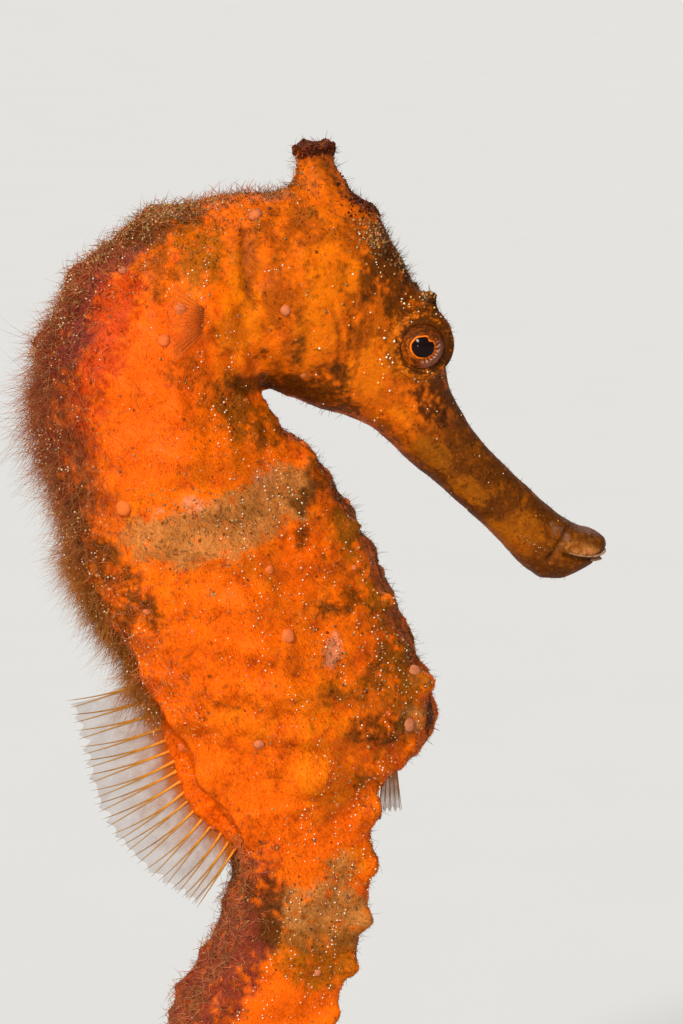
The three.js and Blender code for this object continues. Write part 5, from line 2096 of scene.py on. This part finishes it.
class Graph:
    """The nodes of one material."""

    def __init__(self, name: str) -> None:
        """Starts an empty material.

        Args:
            name: the material's name.
        """
        self.material = bpy.data.materials.new(name)
        self.material.use_nodes = True
        self.tree = self.material.node_tree
        self.tree.nodes.clear()

    def node(
        self, kind: str, settings: Optional[dict[str, Any]] = None, inputs: Optional[dict[Any, Any]] = None,
        output: Any = 0,
    ) -> Value:
        """Adds a node.

        Args:
            kind: the node's type.
            settings: its properties, or the stops of a ramp under "stops".
            inputs: values or links for its sockets, by name or number.
            output: the name or number of the output to return.

        Returns:
            The output.
        """
        made = self.tree.nodes.new(kind)
        for name, value in (settings or {}).items():
            if name == "stops":
                self._set_stops(made.color_ramp.elements, value)
            else:
                setattr(made, name, value)
        for name, value in (inputs or {}).items():
            self.feed(made.inputs[name], value)
        return Value(self, made.outputs[output])

    def _set_stops(self, elements: Any, stops: Sequence[tuple[float, Rows]]) -> None:
        """Puts a ramp's stops in place of its own two.

        Args:
            elements: the ramp's elements.
            stops: their places and colours.
        """
        while len(elements) < len(stops):
            elements.new(1.0)
        for element, (at, colour) in zip(elements, stops):
            element.position = at
            element.color = (*map(float, colour), 1.0)

    def feed(self, socket: bpy.types.NodeSocket, value: Any) -> None:
        """Links an output to a socket, or sets the socket.

        Args:
            socket: the input.
            value: a node's output, a number or a row of numbers.
        """
        if isinstance(value, Value):
            self.tree.links.new(value.socket, socket)
        elif socket.type == "RGBA":
            socket.default_value = (*map(float, value), 1.0)
        elif socket.type == "VECTOR":
            socket.default_value = tuple(map(float, value))
        else:
            socket.default_value = float(value)

    def place(self) -> Value:
        """The surface's own coordinates in millimetres."""
        return self.stretched(self.node("ShaderNodeTexCoord", output="Object"), (1 / MM,) * 3)

    def stretched(self, place: Value, factors: tuple[float, float, float]) -> Value:
        """Coordinates or a colour multiplied along each axis."""
        return self.node("ShaderNodeVectorMath", {"operation": "MULTIPLY"}, {0: place, 1: factors})

    def noise(self, place: Value, size: float, detail: float = 3.0, rough: float = 0.55) -> Value:
        """Soft noise from 0 to 1, its lumps about so many millimetres wide."""
        inputs = {"Vector": place, "Scale": 1 / size, "Detail": detail, "Roughness": rough}
        return self.node("ShaderNodeTexNoise", None, inputs, "Fac")

    def cells(self, place: Value, size: float) -> Value:
        """The distance from the middle of irregular cells."""
        return self.node("ShaderNodeTexVoronoi", None, {"Vector": place, "Scale": 1 / size}, "Distance")

    def mix(self, share: Any, first: Any, second: Any, way: str = "MIX") -> Value:
        """Two colours mixed.

        Args:
            share: the share of the second.
            first: the first colour.
            second: the second colour.
            way: how they are mixed.

        Returns:
            The mixed colour.
        """
        made = self.tree.nodes.new("ShaderNodeMix")
        made.data_type = "RGBA"
        made.blend_type = way
        for name, value in (("Factor", share), ("A", first), ("B", second)):
            wanted = "VALUE" if name == "Factor" else "RGBA"
            self.feed(next(s for s in made.inputs if s.name == name and s.type == wanted), value)
        return Value(self, next(s for s in made.outputs if s.type == "RGBA"))

    def shade(self, colour: Any, light: Any) -> Value:
        """A colour made lighter or darker by a value about 1."""
        return self.node("ShaderNodeVectorMath", {"operation": "SCALE"}, {0: colour, "Scale": light})

    def tint(self) -> Value:
        """The colour painted on the piece's vertices."""
        return self.node("ShaderNodeVertexColor", {"layer_name": "tint"}, output="Color")

    def mottled(self, place: Value) -> Value:
        """The painted colour with the fine dark and bright mottling that skin and coat share, strongest where dull.

        Args:
            place: the coordinates to read.

        Returns:
            The colour.
        """
        tint = self.tint()
        parts = self.node("ShaderNodeSeparateColor", None, {0: tint}, "Red")
        dull = 0.22 + parts.step(0.95, 0.60) * 0.78
        fine = self.noise(place, 0.34, 5.0, 0.68)
        broad = self.noise(self.stretched(place, (1.0, 1.0, 1.1)), 1.3, 4.0, 0.6)
        dark = fine.step(0.50, 0.66) * (0.35 + broad.step(0.38, 0.60) * 0.65) * dull
        light = fine.step(0.44, 0.30) * dull
        tiny = self.noise(place, 0.15, 3.0, 0.6).step(0.52, 0.70) * (dull * 0.5 + 0.5)
        colour = self.mix(dark * 0.72 + tiny * 0.30, tint, self.shade(tint, 0.20))
        return self.mix(light * 0.34, colour, self.stretched(tint, (1.25, 1.55, 1.2)))

    def bump(self, height: Value, reach: float, strength: float = 1.0) -> Value:
        """A surface made uneven by a height from 0 to 1, so many millimetres deep."""
        inputs = {"Height": height, "Distance": reach * MM, "Strength": strength}
        return self.node("ShaderNodeBump", None, inputs, "Normal")

    def surface(self, **inputs: Any) -> Material:
        """Ends the graph with a surface.

        Args:
            inputs: the surface's values or links, with _ for the spaces of their names.

        Returns:
            The material.
        """
        names = {name.replace("_", " "): value for name, value in inputs.items()}
        shader = self.node("ShaderNodeBsdfPrincipled", None, names)
        end = self.tree.nodes.new("ShaderNodeOutputMaterial")
        self.tree.links.new(shader.socket, end.inputs["Surface"])
        return self.material


@dataclass(frozen=True)
class SkinFinish:
    """Velvety wet skin with fine mottling and granules."""

    mottle: float = 0.55
    grain: float = 0.24
    roughness: float = 0.46

    def make(self) -> Material:
        """Makes the material.

        Returns:
            The material.
        """
        graph = Graph("seahorse_skin")
        place = graph.place()
        fine = graph.noise(place, self.grain, 4.0, 0.65)
        broad = graph.noise(place, self.mottle * 3, 3.0)
        light = 0.52 + fine * 0.62 + broad * 0.36
        granules = graph.cells(place, 0.42).step(0.30, 0.10)
        colour = graph.shade(graph.mottled(place), light)
        colour = graph.mix(granules * 0.12, colour, (0.95, 0.30, 0.06))
        pits = graph.cells(graph.stretched(place, (1.0, 1.0, 1.15)), 0.7).step(0.16, 0.04)
        colour = graph.mix(pits * broad.step(0.45, 0.7) * 0.6, colour, (0.10, 0.03, 0.008))
        height = fine * 0.45 + graph.noise(place, 0.09, 2.0) * 0.25 + granules * 0.3
        return graph.surface(
            Base_Color=colour, Roughness=self.roughness - 0.12 + fine * 0.26, Normal=graph.bump(height, 0.16, 0.8),
            Subsurface_Weight=0.08, Subsurface_Radius=(1.0, 0.30, 0.05), Subsurface_Scale=0.0008,
            Specular_IOR_Level=0.06, Coat_Weight=0.01, Coat_Roughness=0.3,
        )


@dataclass(frozen=True)
class FibreFinish:
    """Fine threads of algae and felt."""

    roughness: float = 0.58

    def make(self) -> Material:
        """Makes the material.

        Returns:
            The material.
        """
        graph = Graph("algae_fibre")
        place = graph.place()
        light = 0.74 + graph.noise(place, 0.5, 3.0) * 0.56
        return graph.surface(
            Base_Color=graph.shade(graph.mottled(place), light),
            Roughness=self.roughness - 0.1 + graph.noise(place, 0.2) * 0.2, Specular_IOR_Level=0.0,
        )


@dataclass(frozen=True)
class PaintedFinish:
    """A finish over painted colours: fine noise shades them, and roughens and lifts the surface."""

    name: str
    grain: float
    dark: float
    contrast: float
    roughness: float
    sway: float
    depth: float
    strength: float
    specular: float

    def make(self) -> Material:
        """Makes the material.

        Returns:
            The material.
        """
        graph = Graph(self.name)
        fine = graph.noise(graph.place(), self.grain, 3.0, 0.6)
        return graph.surface(
            Base_Color=graph.shade(graph.tint(), self.dark + fine * self.contrast),
            Roughness=self.roughness + fine * self.sway, Normal=graph.bump(fine, self.depth, self.strength),
            Specular_IOR_Level=self.specular,
        )


GRIT = PaintedFinish(
    "crust_grit", grain=0.16, dark=0.66, contrast=0.66, roughness=0.4, sway=0.2, depth=0.06, strength=0.7, specular=0.05
)
RAYS = PaintedFinish(
    "fin_ray", grain=0.35, dark=0.72, contrast=0.56, roughness=0.34, sway=0.15, depth=0.03, strength=0.6, specular=0.2
)


@dataclass(frozen=True)
class VeilFinish:
    """The fins' membrane: thin, smoky and see-through, clearest at its edge."""

    roughness: float = 0.28

    def make(self) -> Material:
        """Makes the material.

        Returns:
            The material.
        """
        graph = Graph("fin_membrane")
        place = graph.place()
        veil = graph.node("ShaderNodeAttribute", {"attribute_name": "veil"}, output="Fac")
        fine = graph.noise(place, 0.3, 4.0, 0.6)
        streaks = graph.noise(graph.stretched(place, (1.0, 1.0, 1.6)), 0.9, 2.0)
        return graph.surface(
            Base_Color=graph.shade(graph.tint(), 0.75 + fine * 0.5), Roughness=self.roughness + fine * 0.2,
            Alpha=veil * (0.55 + fine * 0.5 + streaks * 0.4), Normal=graph.bump(fine, 0.03, 0.4),
            Specular_IOR_Level=0.2,
        )


@dataclass(frozen=True)
class EyeFinish:
    """The eye: a ragged black pupil, a thin bright ring, then wrinkled bands of orange and brown, with painted shade
    towards its top and the snout.
    """

    pupil: float = 0.97
    ring: float = 1.09

    def make(self) -> Material:
        """Makes the material.

        Returns:
            The material.
        """
        graph = Graph("seahorse_eye")
        place = graph.place()
        split = graph.tree.nodes.new("ShaderNodeSeparateXYZ")
        graph.feed(split.inputs[0], place)
        x = Value(graph, split.outputs[0]) - (EYES.x + EYES.gaze_x)
        z = Value(graph, split.outputs[2]) - (EYES.z + EYES.gaze_z)
        angle = z.angle_from(x)
        ragged = graph.noise(place, 0.34, 3.0, 0.6)
        off = (x * x + z * z * 1.25) ** 0.5 + (ragged - 0.5) * 0.22
        notch = (angle - 0.80) * (angle - 0.80)
        off = off + (1 - notch.step(0.0, 0.10)) * 0.20
        round_it = graph.node("ShaderNodeCombineXYZ", None, {0: off * 5.2, 1: x / off * 1.3, 2: z / off * 1.3})
        wave = graph.noise(round_it, 1.0, 3.0, 0.6).step(0.30, 0.66)
        spokes = ((angle + graph.noise(place, 0.9) * 0.6) * 24).wave() * 0.5 + 0.5
        speck = graph.noise(place, 0.12, 3.0, 0.7)
        blotch = graph.noise(place, 0.55, 4.0, 0.65).step(0.40, 0.62)
        # painted shade: the orange fades towards the top of the eye and towards the snout
        orange = (wave * 0.55 + speck.step(0.40, 0.66) * 0.6) * (0.35 + blotch * 0.65) * (1 - z.step(0.2, 1.5) * 0.55)
        iris = graph.mix(orange * (1 - x.step(0.8, 2.0) * 0.5), (0.034, 0.009, 0.0015), (0.60, 0.115, 0.003))
        lower = z.step(0.7, -0.2) * x.step(-0.4, 0.5)
        bars = lower * spokes.step(0.35, 0.70)
        iris = graph.mix(lower * off.step(1.30, 1.55) * 0.5, iris, (0.34, 0.12, 0.08))
        iris = graph.mix(bars * (1 - off.step(1.28, 1.48)) * 0.9, iris, (0.95, 0.13, 0.005))
        glints = bars * off.step(1.26, 1.34) * (1 - off.step(1.44, 1.66)) * speck.step(0.40, 0.55)
        iris = graph.mix(glints, iris, (0.92, 0.62, 0.45))
        broken = graph.noise(place, 0.28, 2.0).step(0.24, 0.42) * (1 - lower * 0.75)
        bright = graph.mix((1 - off.step(self.ring - 0.03, self.ring + 0.04)) * broken, iris, (0.98, 0.19, 0.004))
        inside = off.step(self.pupil - 0.02, self.pupil + 0.03)
        colour = graph.mix(inside, (0.010, 0.0035, 0.0030), bright)
        height = wave * 0.7 + speck * 0.3
        return graph.surface(
            Base_Color=colour, Roughness=0.16 + inside * 0.32, Coat_Weight=0.06 - off.step(1.1, 1.4) * 0.03,
            Coat_Roughness=0.10, Specular_IOR_Level=0.06, Normal=graph.bump(height * inside, 0.06, 0.9),
        )


@dataclass(frozen=True)
class WoodFinish:
    """Oiled walnut with straight grain."""

    grain: float = 1.5
    roughness: float = 0.42

    def make(self) -> Material:
        """Makes the material.

        Returns:
            The material.
        """
        graph = Graph("walnut")
        place = graph.place()
        warp = graph.noise(graph.stretched(place, (0.05, 0.3, 0.3)), 1.6, 3.0)
        rings = graph.noise(graph.stretched(place, (0.03, 1.0, 1.0)), self.grain * 2.2, 4.0, 0.6)
        bands = ((rings + warp * 0.8) * 34).wave() * 0.5 + 0.5
        pores = graph.noise(graph.stretched(place, (0.07, 2.4, 2.4)), 0.8, 3.0, 0.7)
        colour = graph.mix(bands * 0.6 + rings * 0.4, (0.105, 0.047, 0.022), (0.235, 0.118, 0.058))
        colour = graph.mix(pores.step(0.56, 0.70) * 0.7, colour, (0.035, 0.016, 0.009))
        return graph.surface(
            Base_Color=colour, Roughness=self.roughness + pores * 0.18, Normal=graph.bump(1 - pores, 0.05, 0.4),
            Coat_Weight=0.12, Coat_Roughness=0.25,
        )


@dataclass(frozen=True)
class SteelFinish:
    """Brushed steel."""

    roughness: float = 0.26

    def make(self) -> Material:
        """Makes the material.

        Returns:
            The material.
        """
        graph = Graph("brushed_steel")
        place = graph.place()
        brush = graph.noise(graph.stretched(place, (1.0, 1.0, 0.05)), 0.12, 3.0, 0.6)
        smudge = graph.noise(place, 4.0, 3.0)
        return graph.surface(
            Base_Color=graph.shade((0.60, 0.60, 0.61), 0.86 + smudge * 0.2), Metallic=1.0,
            Roughness=self.roughness + brush * 0.2 + smudge * 0.08, Normal=graph.bump(brush, 0.01, 0.5),
        )


@dataclass(frozen=True)
class FloorFinish:
    """Pale matt card."""

    def make(self) -> Material:
        """Makes the material.

        Returns:
            The material.
        """
        graph = Graph("pale_card")
        soft = graph.noise(graph.place(), 30.0, 2.0)
        return graph.surface(
            Base_Color=graph.shade((0.66, 0.66, 0.65), 0.985 + soft * 0.03), Roughness=0.9, Specular_IOR_Level=0.1
        )


# ---- studio


@dataclass(frozen=True)
class Lamp:
    """One soft light far away: its bearing and height about what it lights, how wide it looks and how strong it is."""

    name: str
    bearing: float
    height: float
    spread: float
    power: float
    colour: tuple[float, float, float]


@dataclass
class Studio:
    """The floor, the lights and the camera."""

    target: tuple[float, float, float] = (6.08, 0.0, 86.4)
    bearing: float = -14.0
    height: float = 12.0
    away: float = 350.0
    lens: float = 144.8
    lamps: tuple[Lamp, ...] = (
        Lamp("key", -44.0, 40.0, 12.0, 3.3, (1.0, 0.97, 0.92)),
        Lamp("fill", -40.0, 8.0, 7.0, 0.45, (0.98, 0.98, 1.0)),
        Lamp("back", 152.0, 34.0, 25.0, 1.1, (1.0, 0.97, 0.93)),
    )
    sky: float = 0.30
    floor_size: float = 12.0

    def _aim(self, bearing: float, height: float) -> Vector:
        """The direction from the target towards a place, a bearing of 0 being straight out from its right side."""
        turn, rise = math.radians(bearing), math.radians(height)
        return Vector((math.sin(turn) * math.cos(rise), -math.cos(turn) * math.cos(rise), math.sin(rise)))

    def _put(self, piece: Piece, back: Vector, away: float) -> None:
        """Puts a light or the camera in its place, facing the target."""
        piece.location = (Vector(self.target) + back * away) * MM
        piece.rotation_euler = (-back).to_track_quat("-Z", "Y").to_euler()

    def build(self) -> None:
        """Makes the floor, the lights, the sky and the camera."""
        bpy.ops.object.select_all(action="DESELECT")
        bpy.ops.mesh.primitive_plane_add(size=self.floor_size, location=(0, 0, 0))
        floor = taken("floor")
        floor.data.materials.append(FloorFinish().make())
        for lamp in self.lamps:
            light = bpy.data.lights.new(lamp.name, "SUN")
            light.angle = math.radians(lamp.spread)
            light.energy = lamp.power
            light.color = lamp.colour
            self._put(linked(lamp.name, light), self._aim(lamp.bearing, lamp.height), self.away * 2)
        world = bpy.data.worlds.new("sky")
        world.use_nodes = True
        world.node_tree.nodes["Background"].inputs["Color"].default_value = (0.93, 0.96, 1.0, 1.0)
        world.node_tree.nodes["Background"].inputs["Strength"].default_value = self.sky
        scene = bpy.context.scene
        scene.world = world
        scene.view_settings.view_transform = "Standard"
        camera = bpy.data.cameras.new("camera")
        camera.lens = self.lens
        camera.clip_start, camera.clip_end = 0.01, 100
        scene.camera = linked("camera", camera)
        self._put(scene.camera, self._aim(self.bearing, self.height), self.away)


# ---- the whole


def main() -> None:
    """Builds the seahorse, its stand and the studio, in order."""
    logging.basicConfig(level=logging.INFO, format="%(message)s")
    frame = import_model()
    nodes = frame["nodes"]
    Studio().build()
    line = BodyLine()
    fins = Fins(line)
    skin = Skin(line, Markings())
    skin.build(nodes, fins.root_strip())
    skin.dress(SkinFinish().make())
    Coat(skin, FibreFinish().make(), GRIT.make()).build()
    Lips().build(skin, skin.piece.data.materials[0])
    fins.build(RAYS.make(), VeilFinish().make())
    eye = EyeFinish().make()
    for name, side in (("eye_right", -1), ("eye_left", 1)):
        Eye(name, side).build(eye)
        Eyelid(side).build(skin.markings, line, skin.piece.data.materials[0])
    Stand().build(nodes, WoodFinish().make(), SteelFinish().make())
    log.info("the seahorse is whole")


if __name__ == "__main__":
    main()
